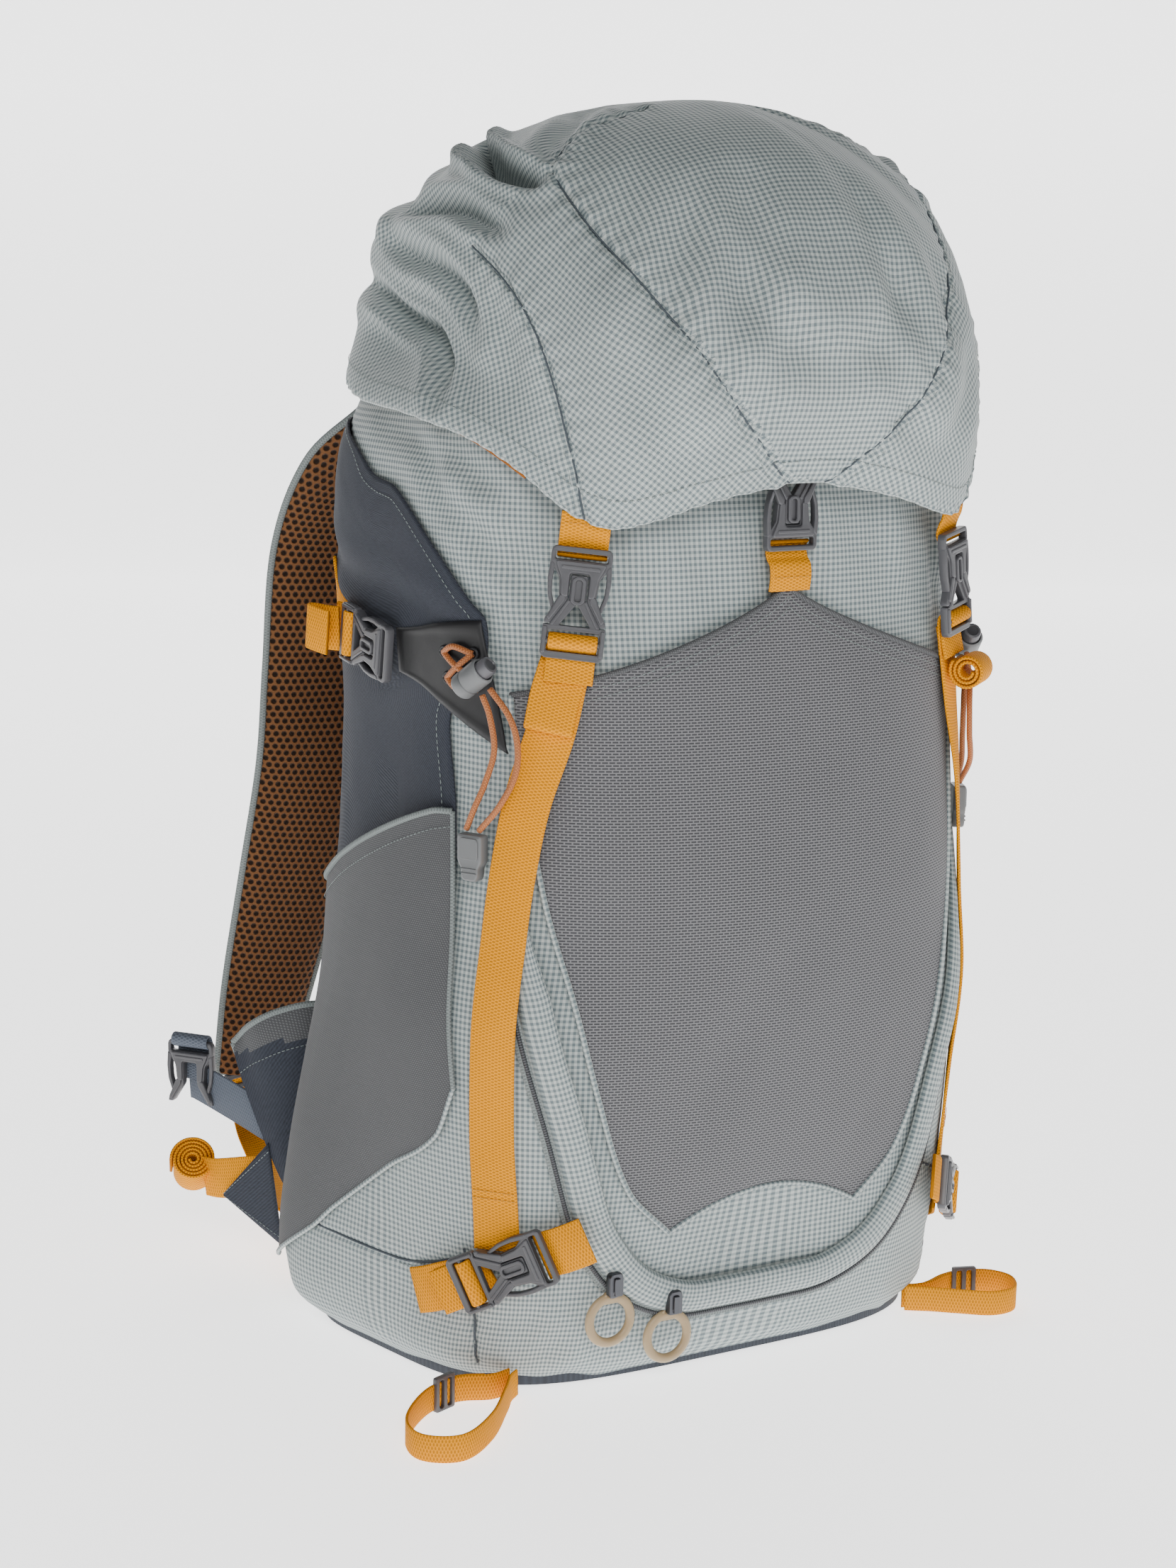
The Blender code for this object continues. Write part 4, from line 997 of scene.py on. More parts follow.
for side, mirror in HANDS:
    u, v = np.meshgrid(np.linspace(0, 1, 71), np.linspace(0, 1, 91))
    drape = 0.6 * noise(u * 4, v * 5, 61) + 0.3 * noise(u * 9 + v * 3, v * 4, 62)
    points = bottle_point(u, v, drape * np.sin(np.pi * u) ** 0.5)
    y = BOTTLE_FRONT + BOTTLE_LENGTH * u
    cloth = np.stack([y, points[..., 2]], -1)
    pouch = Shape()
    pouch.sheet(points, 1.2, cloth)
    t = np.linspace(0, 1, 101)
    pouch.tube(bottle_point(t, 1.0, 0.3), 1.7, 10, finish=1)
    row = bottle_point(t, 0.945, 0.4)
    pouch.stitches(row, np.tile([-1.0, 0, 0], (101, 1)), 2.8, 2.0, 0.5, finish=2)
    pouch.tube(bottle_point(0.0, t, 0.2), 1.3, 10, finish=1)
    pouch.tube(bottle_point(t, 0.0, 0.2), 1.3, 10, finish=3)
    pocket = pouch.make(f"bottle_pocket_{side}", [TRICOT, BINDING, GREY_THREAD, CHECK], "pack",
                        "grey_stretch_mesh", [f"side_pocket_{side}"], mirror)
print("side pocket:", size_of(pocket), "mm")

# %% [markdown]
# ## Rubber tabs and their lacing
# Behind the cord lock a moulded rubber tab spreads the pull of the side buckle. Four eyelets in it
# take a short crossed lacing of the same shock cord. Its outline is two curves, top and bottom: each
# row of the table holds an angle and height on the top one, then on the bottom one.
# %% Side tabs
TAB_COLUMNS = ((181, 397, 181, 374), (187, 400, 187, 370), (193, 403.5, 193, 363),
               (201, 406.5, 202, 353), (207.5, 408, 213, 342))
EYELETS = ((196, 390), (205, 378), (205, 391), (196.5, 377))
LACES = (((196, 390), (200.5, 384), (205, 378)), ((205, 391), (201, 384.5), (196.5, 377)),
         ((196, 390), (200, 394), (205, 391)), ((196.5, 377), (201, 372), (205.5, 373)))
for side, mirror in HANDS:
    columns = smooth_path(TAB_COLUMNS, 1.2)
    f = np.linspace(0, 1, 28)[:, None]
    angle = columns[:, 2] + (columns[:, 0] - columns[:, 2]) * f
    height = columns[:, 3] + (columns[:, 1] - columns[:, 3]) * f
    across = np.linspace(0, 40, len(columns))[None]
    edge = np.minimum(np.minimum(f, 1 - f) * 28, np.minimum(across, 40 - across))
    points = bag_point(angle, height, 1.9 + 0.9 * ease(edge, 0, 1.5) - 0.5 * ease(edge, 2.5, 3.5))
    tab = Shape()
    tab.sheet(points, 1.6)
    for lace in LACES:
        line, away = on_bag(lace, 3.4, 1.0)
        arch = np.sin(np.linspace(0, np.pi, len(line)))[:, None]
        tab.tube(line + away * arch * 1.8, 1.6, 10, finish=1)
    for place in EYELETS:
        middle, away = bag_point(*place, 3.0), bag_normal(*place)
        turn = np.linspace(0, 2 * np.pi, 17)
        first = unit(np.cross(away, [0, 0, 1.0]))
        second = np.cross(away, first)
        ring = middle + 2.7 * (np.cos(turn)[:, None] * first + np.sin(turn)[:, None] * second)
        tab.tube(ring, 0.8, 8, finish=0)
    side_tab = tab.make(f"rubber_tab_{side}", [RUBBER, ORANGE_CORD], "pack", "black_rubber",
                        [f"side_tab_{side}"], mirror)
print("tab:", len(side_tab.data.polygons), "faces")

# %% [markdown]
# ## The lid
# The lid is a floating pocket, cut in panels: a long one from the front hem over the top, a slanted
# one at each front corner and one round each side and back. It is half full, so its back corners
# slump into deep folds. The folds are valleys laid along lines on its surface.
# %% The lid's surface
LID_RIM = ((90, 527), (150, 524), (180, 511), (200, 500), (215, 484), (228, 464), (237, 457),
           (246, 460), (256, 468), (270, 477))
LID_TOP, LID_CROWN_Y = 665, -40


def lid_point(angle, share):
    """Points on the lid: share runs from 0 at its rim to 1 at its crown."""
    angle, share = np.broadcast_arrays(np.asarray(angle, float), np.asarray(share, float))
    folded = np.where((angle >= 90) & (angle <= 270), angle, (540 - angle) % 360)
    rim_height = smooth_table(LID_RIM, folded)[0]
    c, s = np.cos(np.radians(angle)), np.sin(np.radians(angle))
    front, back = np.maximum(0, -s), np.maximum(0, s)
    x = 156 * signed_power(c, 2 / 3)
    y = np.where(s > 0, 118, 150) * signed_power(s, 2 / 3)
    narrow = np.sqrt(np.maximum(0, 1 - share ** (3 - 0.3 * front**2 - 1.4 * back**2)))
    swell = 1 + 0.25 * front**2 * np.sin(np.pi / 2 * np.minimum(share / 0.4, 1))
    y = LID_CROWN_Y + (y - LID_CROWN_Y) * narrow * swell
    return np.stack([x * narrow, y, rim_height + (LID_TOP - rim_height) * share], -1)


def on_lid(places, side="left", spacing=1.2):
    """A line on the lid through these angles and hundredths of its height."""
    places = smooth_path(places, spacing)
    angle = places[:, 0] if side == "left" else 540 - places[:, 0]
    return lid_point(angle, places[:, 1] / 100)


# Seams and folds as angles and hundredths of the lid's height, from the rim up. A fold also has
# its valley's width and depth.
FRONT_SEAM = ((269, 0), (264, 12), (258, 24), (248, 43), (236, 58), (220, 69), (207, 77))
TOP_SEAM = ((207, 77), (203, 84), (205, 91), (213, 97))
CORNER_SEAM_LID = ((231, 0), (225, 16), (217, 34), (208, 45), (194, 54))
FOLDS = (
    (((158, 35), (170, 33), (181, 26), (187, 18), (192, 7)), 5.0, 10.0),
    (((172, 62), (182, 65), (193, 62), (201, 60)), 4.5, 9.0),
    (((158, 85), (168, 84), (177, 81), (186, 77), (195, 75), (204, 74)), 4.5, 21.0),
    (((166, 53), (178, 50), (189, 42), (198, 29)), 5.5, 8.0),
    (((176, 96), (188, 92), (197, 86), (203, 80)), 7.0, 5.0),
    (((144, 70), (156, 66), (168, 62)), 8.0, 6.0),
    (((136, 40), (150, 36), (160, 34)), 8.0, 5.0),
    (((200, 44), (206, 32), (212, 16)), 8.0, 2.6),
    (((214, 60), (222, 44), (228, 26)), 9.0, 2.2),
    (((234, 42), (242, 28), (250, 12)), 9.0, 2.6),
    (((262, 78), (258, 62), (263, 44), (271, 30)), 10.0, 3.2),
    (((280, 80), (277, 62), (283, 44), (285, 26)), 9.0, 2.8),
    (((292, 76), (296, 58), (297, 40)), 9.0, 2.6),
    (((268, 40), (262, 28), (258, 14)), 8.0, 2.0),
    (((276, 22), (284, 16), (294, 12)), 8.0, 2.0),
)

# %% [markdown]
# The front seam, the corner seam and the top seam divide the grid. Each panel then gets its own
# weave: the middle panel's check runs level, and the corner panel's runs aslant, as it was cut.
# %% Build the lid
turns, rows, LID_THICK = 300, 150, 2.0
angle, t = np.meshgrid(np.linspace(90, 450, turns + 1)[:-1], np.linspace(0, 0.992, rows))
share = 1 - (1 - t) ** 2
lid = lid_point(angle, share)
normals = grid_normals(lid, wrap=True)
normals *= np.sign(np.sum(normals * (lid - (0, -20, 540)), -1, keepdims=True))
relief = 1.3 * noise(angle / 26, share * 4.5, 71) + 0.6 * noise(angle / 11, share * 9, 72)
slump = np.exp(-(((angle - 180) / 34) ** 2)) + np.exp(-(((angle - 360) / 34) ** 2))
slump = slump * ease(share, 0.12, 0.3) * (1 - ease(share, 0.82, 0.97))
relief += slump * (3.2 * noise(angle / 14 + share * 3, share * 7, 74) - 0.5)
corner = np.exp(-(((angle - 181) / 26) ** 2)) + np.exp(-(((angle - 359) / 26) ** 2))
relief -= corner * 13 * ease(share, 0.06, 0.2) * (1 - ease(share, 0.34, 0.6))
relief += corner * 7 * (1 - ease(share, 0.0, 0.12))
on_front = (1 - ease(np.abs(angle - 270), 40, 62)) * ease(share, 0.1, 0.4)
relief += on_front * 1.8 * noise(angle / 8, share * 6, 77)
for side in SIDES:
    for fold, width, depth in FOLDS:
        relief += crease(lid, on_lid(fold, side), width, depth)
    for seam, groove, pitch, seed in ((FRONT_SEAM, 2.6, 13, 81), (CORNER_SEAM_LID, 2.4, 12, 82),
                                      (TOP_SEAM, 2.4, 11, 83)):
        relief += seam_relief(lid, on_lid(seam, side), groove, 0.9, pitch, seed)
crown = ease(share, 0.97, 1.0)
relief = relief * (1 - crown) + crown * 0.4
gathers = np.sin(np.radians(angle) * 90 + 2 * noise(angle / 12, share, 85))
relief += (1 - ease(share, 0.0, 0.05)) * 0.7 * gathers
lid = lid + normals * relief[..., None]

folded = np.where(angle <= 270, angle, 540 - angle)
TOP_EDGE = [(100, 225)]


def panel_edge(*seams):
    """The angle of a panel's edge at each height, read from its seams."""
    keys = [(height, angle) for seam in seams for angle, height in seam] + TOP_EDGE
    return smooth_table(keys, share * 100)[0]


seam_angle = panel_edge(FRONT_SEAM, TOP_SEAM[1:])
corner_angle = panel_edge(CORNER_SEAM_LID, [(198, 65)], TOP_SEAM)
middle_panel = folded > seam_angle
corner_panel = (folded > corner_angle) & ~middle_panel
profile = lid_point(np.r_[np.full(60, 270), np.full(40, 90)],
                    np.r_[np.linspace(0, 1, 60), np.linspace(1, 0, 40)])


def swing(points):
    """Angle over the top of the lid, seen from its side."""
    return np.arctan2(points[..., 2] - 470, -(points[..., 1] + 20))


profile_swing = np.unwrap(swing(profile))
order = np.argsort(profile_swing)
over = np.interp(swing(lid), profile_swing[order], run_along(profile)[order])
level = np.stack([lid[..., 0], over], -1)
ring = run_along(lid_point(np.linspace(90, 450, turns + 1), 0.3))
round_cloth = np.stack([np.broadcast_to(ring[:-1], angle.shape), lid[..., 2] * 1.08], -1)


def aslant(cloth, degrees):
    c, s = math.cos(math.radians(degrees)), math.sin(math.radians(degrees))
    return np.stack([c * cloth[..., 0] - s * cloth[..., 1], s * cloth[..., 0] + c * cloth[..., 1]], -1)


on_left = (angle <= 270)[..., None]
corner_cloth = np.where(on_left, aslant(round_cloth, 33), aslant(round_cloth, -33))
cheek_cloth = np.where(on_left, aslant(round_cloth, -22), aslant(round_cloth, 22))


def lid_panels(shape, points, flip, finish):
    """Adds the lid's faces panel by panel, so each keeps its own weave right up to its seams."""
    index = shape.add_points(points)
    wrapped = np.hstack([index, index[:, :1]])
    inside = [mask[:-1] for mask in (middle_panel, corner_panel, ~(middle_panel | corner_panel))]
    for mask, cloth in zip(inside, (level, corner_cloth, cheek_cloth)):
        cloth = np.concatenate([cloth, 2 * cloth[:, -1:] - cloth[:, -2:-1]], 1)
        faces, loops = face_corners(wrapped, flip), face_corners(cloth, flip)
        shape.add_faces(faces[mask], loops[mask], finish)
    return index


hood = Shape()
outward = np.sum(grid_normals(lid, wrap=True) * normals) > 0
outer = lid_panels(hood, lid, not outward, 0)
inner = hood.grid(lid - normals * LID_THICK, wrap=True, flip=outward, finish=1)
cap = outer[-1] if outward else outer[-1][::-1]
hood.add_faces(cap[None], lid[-1][None, :, :2] if outward else lid[-1][::-1][None, :, :2])
cap = inner[-1][::-1] if outward else inner[-1]
hood.add_faces(cap[None], lid[-1][None, :, :2], 1)
rim_pair = np.stack([np.r_[inner[0], inner[0][:1]], np.r_[outer[0], outer[0][:1]]])
hood.quads(rim_pair, np.zeros((2, turns + 1, 2)), not outward, 0)
lid_shell = hood.make("lid_shell", [CHECK, LINING], "lid", "check_fabric", ["lid"])
print("lid:", size_of(lid_shell), "mm,", len(lid_shell.data.polygons), "faces")

# %% [markdown]
# The rim is finished with a narrow turned hem and, inside the back corners, a tan binding tape that
# peeps out under the edge. Along each seam runs a thin dark tube of lining cloth, painted shade that
# stands in for the shadow in the seam's groove, and a row of top stitching runs close beside it.
# %% Lid hem, binding and stitching
hem_row = lid[0] - normals[0] * 1.0
trim = Shape()
trim.tube(np.vstack([hem_row, hem_row[:1]]), 1.1, 8, finish=0, ends=False)
hem_line = lid[5] + normals[5] * 0.35
trim.stitches(np.vstack([hem_line, hem_line[:1]]), np.vstack([normals[5], normals[5][:1]]), 3.6, 2.4,
              finish=1)
for side in SIDES:
    for seam, shift in ((FRONT_SEAM, -1.6), (CORNER_SEAM_LID, -1.6), (TOP_SEAM, 2.5)):
        moved = tuple((a + shift, b) for a, b in seam)
        line, away = settle(on_lid(moved, side), lid, normals, 0.1)
        trim.stitches(line, away, 3.6, 2.4, 0.4, finish=1)
        # Painted shade: a thin dark tube of lining cloth along the seam, in place of the groove's shadow.
        trim.tube(settle(on_lid(seam, side), lid, normals, 0.1)[0], 0.5, 6, finish=3)
    places = ((118, 0), (150, 0), (180, 0), (200, 0), (216, 0))
    line = on_lid(places, side) + (0, 0, -1.6)
    line = line * (0.988, 0.988, 1)
    trim.tube(line, 1.7, 8, finish=2)
lid_trim = trim.make("lid_trim", [CHECK, GREY_THREAD, TAN_BINDING, LINING], "lid", "check_fabric")
print("lid trim faces:", len(lid_trim.data.polygons))

# %% [markdown]
# ## Webbing straps
# Flat webbing bends only about its width, so a strap is a strip carried along a line on the bag with
# the bag's own normals. Where it ends at a buckle it goes round a bar and comes back on itself.
# %% Strap helpers
STRAP_WIDTH, STRAP_THICK, NARROW_STRAP = 25, 1.8, 15


def strap_line(route, spacing=3.0):
    """A strap's path and normals on the bag, from angles, heights and how proud it stands."""
    places = smooth_path(route, spacing)
    return bag_point(*places.T), bag_normal(places[:, 0], places[:, 1])


def threaded(frame, route):
    """A strap through a buckle: the route lists places along the buckle and heights over its plane."""
    path = np.array([spot(frame, 0, y, z) for y, z in smooth_path(route, 1.0)])
    sideways = np.cross(frame[1], frame[2])
    return path, np.cross(sideways, unit(np.gradient(path, axis=0)))


def webbing_piece(name, line, body, mirror=False, stands_for=(), width=STRAP_WIDTH):
    """One length of yellow webbing as a piece of its own; line is its path and its normals."""
    strap = Shape()
    strap.ribbon(*line, width, STRAP_THICK)
    strap.make(name, [YELLOW], body, "yellow_webbing", stands_for, mirror)


# The strap comes up through the ladder's lower window, over its middle bar and back down behind
LADDER_THREAD = ((-40, -1.8), (-31, -3.0), (-26, -2.9), (-23.0, 0.2), (-21.2, 3.0), (-18.4, 3.0), (-16.3, 0.2),
                 (-17.6, -3.9), (-24, -5.0), (-38, -4.6))
# A socket's strap end goes behind its bar and turns up into the slot
SLOT_THREAD = ((44, 1.6), (36, 0.4), (31, -2.0), (27, -3.4), (23.6, -3.0), (22.2, -1.0))

# %% [markdown]
# ## Side-release buckles
# A buckle half is a moulded plate cut from an outline with rounded corners. Blender's 2-D curves
# fill an outline with holes, give it thickness and round its edges, so each layer is one such curve,
# turned to a mesh. Layers stacked on each other give the ribs, bows and the sunken slot.
# %% Plates from outlines
def rounded(outline, radius, steps=4):
    """The outline with each corner replaced by a short curve."""
    outline = np.asarray(outline, float)
    found = []
    for k, corner in enumerate(outline):
        before, after = outline[k - 1] - corner, outline[(k + 1) % len(outline)] - corner
        reach = min(radius, np.linalg.norm(before) * 0.45, np.linalg.norm(after) * 0.45)
        first, second = corner + unit(before) * reach, corner + unit(after) * reach
        for t in np.linspace(0, 1, steps + 1):
            found.append((1 - t) ** 2 * first + 2 * t * (1 - t) * corner + t * t * second)
    return np.array(found)


def plate(shape, outlines, low, high, frame, edge=0.5, corner=1.2, finish=0):
    """A flat moulding between two heights over the frame's plane, with rounded edges."""
    curve = bpy.data.curves.new("outline", "CURVE")
    curve.dimensions, curve.fill_mode = "2D", "BOTH"
    curve.extrude, curve.bevel_depth, curve.bevel_resolution = (high - low) / 2 - edge, edge, 1
    curve.offset = -edge
    for outline in outlines:
        points = rounded(outline, corner)
        spline = curve.splines.new("POLY")
        spline.points.add(len(points) - 1)
        for point, (x, y) in zip(spline.points, points):
            point.co = (x, y, 0, 1)
        spline.use_cyclic_u = True
    holder = bpy.data.objects.new("outline", curve)
    mesh = bpy.data.meshes.new_from_object(holder)
    origin, y_axis, z_axis = (np.asarray(v, float) for v in frame)
    x_axis = np.cross(y_axis, z_axis)
    local = np.array([v.co for v in mesh.vertices]) + (0, 0, (low + high) / 2)
    points = origin + local @ np.stack([x_axis, y_axis, z_axis])
    index = shape.add_points(points)
    for polygon in mesh.polygons:
        corners = list(polygon.vertices)
        shape.add_faces(index[corners][None], local[corners][None, :, :2], finish)
    bpy.data.objects.remove(holder)
    bpy.data.curves.remove(curve)
    bpy.data.meshes.remove(mesh)


def mirrored_outline(half):
    return list(half) + [(-x, y) for x, y in reversed(half)]


def block(half_width, low, high):
    return [(half_width, low), (half_width, high), (-half_width, high), (-half_width, low)]


def frame_of(origin, y_axis, z_axis):
    y_axis = unit(np.asarray(y_axis, float))
    z_axis = np.asarray(z_axis, float)
    z_axis = unit(z_axis - y_axis * (z_axis @ y_axis))
    return np.asarray(origin, float), y_axis, z_axis


def spot(frame, x, y, z=0.0):
    origin, y_axis, z_axis = frame
    return origin + np.cross(y_axis, z_axis) * x + y_axis * y + z_axis * z

# %% [markdown]
# The socket has a bar for its strap, a waist, two bows that spring in when they are pressed, and
# legs that spread round the plug. The plug has a nose with a sunken slot and a ladder of two bars.
# %% Socket and plug
SOCKET_BODY = mirrored_outline([(13.5, 27), (15, 25), (15, 19), (10, 12), (9, 2), (15, -9), (15, -11),
                                (12, -11), (4.6, 0.5), (4.6, 13.8)])
SOCKET_BOW = [(15, 20), (15.6, 11), (14.8, 3), (12.4, -4), (10.9, -2.5), (12.8, 4), (13.2, 11), (12.4, 18)]
SOCKET_LEG = [(9, 3.5), (14.2, -8), (12.6, -9.6), (8.2, -2.6), (6, 0.8), (6, 4)]
PLUG_BODY = mirrored_outline([(4.2, 13.4), (4.2, 0.2), (11.4, -11.5), (15.5, -11.5), (15.5, -26),
                              (13.5, -28)])
PLUG_WINDOWS = [block(12.7, -24.5, -21), block(12.7, -18.5, -14), [(-7.6, -11.5), (7.6, -11.5), (0, -0.5)]]
NOSE_RING = mirrored_outline([(1.6, 13), (3.5, 11.4), (3.5, 0.8), (1.6, -0.8)])
NOSE_SLOT = mirrored_outline([(0.8, 11.4), (1.5, 10.6), (1.5, 1.6), (0.8, 0.8)])


def socket(name, frame, body, mirror, stands_for):
    shape = Shape()
    plate(shape, [SOCKET_BODY, block(12.8, 20.5, 24.3)], -2.3, 2.3, frame, 0.7)
    waist = mirrored_outline([(12.8, 20), (9.3, 12), (8.4, 3), (5.0, 2.4), (5.0, 14.6)])
    plate(shape, [waist], 1.2, 3.6, frame, 0.8, 2.0)
    plate(shape, [waist], -3.4, -1.2, frame, 0.8, 2.0)
    for flip in (1, -1):
        plate(shape, [[(x * flip, y) for x, y in SOCKET_BOW]], -1.9, 2.6, frame, 0.7, 1.6)
        plate(shape, [[(x * flip, y) for x, y in SOCKET_LEG]], 1.2, 3.5, frame, 0.7, 1.2)
    plate(shape, [block(9.5, 16.2, 18.0)], 2.4, 4.1, frame, 0.5, 0.8)
    return shape.make(name, [ACETAL], body, "grey_acetal", stands_for, mirror, CREASE_ANGLE)


def plug(name, frame, body, mirror, stands_for):
    shape = Shape()
    plate(shape, [PLUG_BODY, *PLUG_WINDOWS], -2.1, 2.1, frame, 0.6)
    plate(shape, [NOSE_RING, NOSE_SLOT], 1.6, 3.9, frame, 0.5, 1.4)
    for flip in (1, -1):
        rib = [(13.2, -12.4), (15.0, -12.4), (15.0, -25.6), (13.2, -25.6)]
        plate(shape, [[(x * flip, y) for x, y in rib]], 1.2, 3.3, frame, 0.6, 0.9)
        arm = [(3.4, 0.6), (10.6, -11.6), (12.6, -11.6), (4.6, 1.6)]
        plate(shape, [[(x * flip, y) for x, y in arm]], 1.2, 3.1, frame, 0.5, 0.8)
    plate(shape, [block(13.6, -20.6, -19.0)], 1.4, 3.0, frame, 0.5, 0.6)
    return shape.make(name, [ACETAL], body, "grey_acetal", stands_for, mirror, CREASE_ANGLE)


LID_BUCKLE = frame_of((-114.49, -120.64, 420), (0.10746, -0.02183, 0.99397), (-0.4977, -0.86665, 0.03478))
FRONT_BUCKLE = frame_of((0, -134.82, 469), (0, 0, -1), (0, -1, 0))
SIDE_BUCKLE = frame_of((-162.16, 16, 386.5), (0.00152, -0.99011, -0.14027), (-1, -0.0015, 0))
LOWER_BUCKLE = frame_of((-141.02, -98.74, 75.5), (0.62273, -0.65936, 0.42126), (-0.72785, -0.68573, 0.00263))
for side, mirror in HANDS:
    for place, seat, body in (("lid", LID_BUCKLE, "lid"), ("side", SIDE_BUCKLE, "pack"),
                              ("lower", LOWER_BUCKLE, "pack")):
        socket(f"{place}_socket_{side}", seat, body, mirror, [f"{place}_buckle_socket_{side}"])
        plug(f"{place}_plug_{side}_part", seat, f"{place}_plug_{side}", mirror,
             [f"{place}_buckle_plug_{side}"])
socket("front_socket", FRONT_BUCKLE, "pack", False, ["front_buckle_socket"])
plug("front_plug_part", FRONT_BUCKLE, "front_plug", False, ["front_buckle_plug"])
print("buckles: 7 pairs")

# %% [markdown]
# ## Straps on the front
# The lid straps come down from the plugs, stand off over the pocket's corner and end under the lower
# buckles. The left one's spare end is folded back on itself; the right one's is rolled up.
# %% Lid straps
LID_ROUTE = ((230.5, 398, 3.4), (225.5, 358, 5.2), (219.5, 320, 6.5), (216.3, 280, 6.5), (214.9, 240, 5.5),
             (214, 188, 3.0), (213, 140, 1.0), (214, 84, 0.8))
for side, mirror in HANDS:
    strap = Shape()
    path, normals = strap_line(LID_ROUTE)
    strap.ribbon(path, normals, STRAP_WIDTH, STRAP_THICK)
    for level in (112, 116):
        place = np.array([213.2, level])
        middle, away = bag_point(*place, 2.0), bag_normal(*place)
        across = unit(np.cross([0, 0, 1.0], away))
        steps = np.linspace(middle - across * 12, middle + across * 12, 8)
        strap.stitches(steps, np.tile(away, (8, 1)), 2.4, 1.8, 0.6, 1)
    strap.make(f"lid_strap_web_{side}", [YELLOW, YELLOW_THREAD], "pack", "yellow_webbing",
               [f"lid_strap_{side}"], mirror)
    tail = Shape()
    if side == "left":
        fold = ((229.6, 390, 4.6), (228.4, 383, 6.0), (226.7, 372, 7.8), (225.2, 358, 9.6))
        path, normals = strap_line(fold, 2.0)
        turn = np.linspace(0, np.pi, 8)[1:, None]
        end, n = path[-1], normals[-1]
        down = unit(path[-1] - path[-2])
        curl = end - n * 2.0 + 2.0 * (np.cos(turn) * n + np.sin(turn) * down)
        path = np.vstack([path, curl])
        normals = np.vstack([normals, np.cos(turn) * n + np.sin(turn) * down])
        tail.ribbon(path, normals, STRAP_WIDTH, STRAP_THICK)
    else:
        centre = bag_point(226.5, 372, 15.5)
        n, down = bag_normal(226.5, 372), np.array([0, 0, -1.0])
        turn = np.linspace(0, 2 * np.pi * 2.6, 60)[:, None]
        radius = 3.2 + 2.35 * turn / (2 * np.pi)
        path = centre + radius * (np.cos(turn) * n + np.sin(turn) * down)
        tail.ribbon(path, np.cos(turn) * n + np.sin(turn) * down, STRAP_WIDTH, STRAP_THICK)
    tail.ribbon(*threaded(LID_BUCKLE, LADDER_THREAD), STRAP_WIDTH - 0.6, STRAP_THICK)
    tail.make(f"lid_strap_tail_{side}", [YELLOW], f"lid_plug_{side}", "yellow_webbing", (), mirror)
    stub = Shape()
    stub.ribbon(*threaded(LID_BUCKLE, SLOT_THREAD), STRAP_WIDTH - 0.4, STRAP_THICK)
    row = np.linspace(spot(LID_BUCKLE, -11, 38.5, 2.0), spot(LID_BUCKLE, 11, 38.5, 2.0), 8)
    stub.stitches(row, np.tile(LID_BUCKLE[2], (8, 1)), 2.4, 1.8, 0.5, 1)
    stub.make(f"lid_strap_stub_{side}", [YELLOW, YELLOW_THREAD], "lid", "yellow_webbing", (), mirror)
print("lid straps done")

# %% [markdown]
# The middle strap crosses over the open collar under the lid. In front it ends in a plug that hangs
# down into its socket, and the socket's short loop is sewn into the peak of the mesh pocket.
# %% Middle strap and pocket loop
TOP_ROUTE = ((-126, 492), (-116, 525), (-97, 556), (-55, 563), (0, 565), (50, 563), (84, 556))
over_top = smooth_path([(0, y, z) for y, z in TOP_ROUTE], 3)
webbing_piece("middle_strap", (over_top, over_top - (0, -10, 480)), "pack", stands_for=["top_strap"])
webbing_piece("middle_plug_loop", threaded(FRONT_BUCKLE, LADDER_THREAD), "front_plug",
              width=STRAP_WIDTH - 0.4)
peak = Shape()
peak.ribbon(*threaded(FRONT_BUCKLE, ((47, 0.4), (40, 1.6), (34, 0.8), *SLOT_THREAD[2:])), STRAP_WIDTH - 0.4,
            STRAP_THICK)
row = np.linspace((-11, -137.7, 429), (11, -137.7, 429), 8)
peak.stitches(row, np.tile([0, -1.0, 0], (8, 1)), 2.4, 1.8, 0.5, 1)
peak.make("pocket_peak_loop", [YELLOW, YELLOW_THREAD], "pack", "yellow_webbing")
print("middle strap:", len(over_top), "steps")

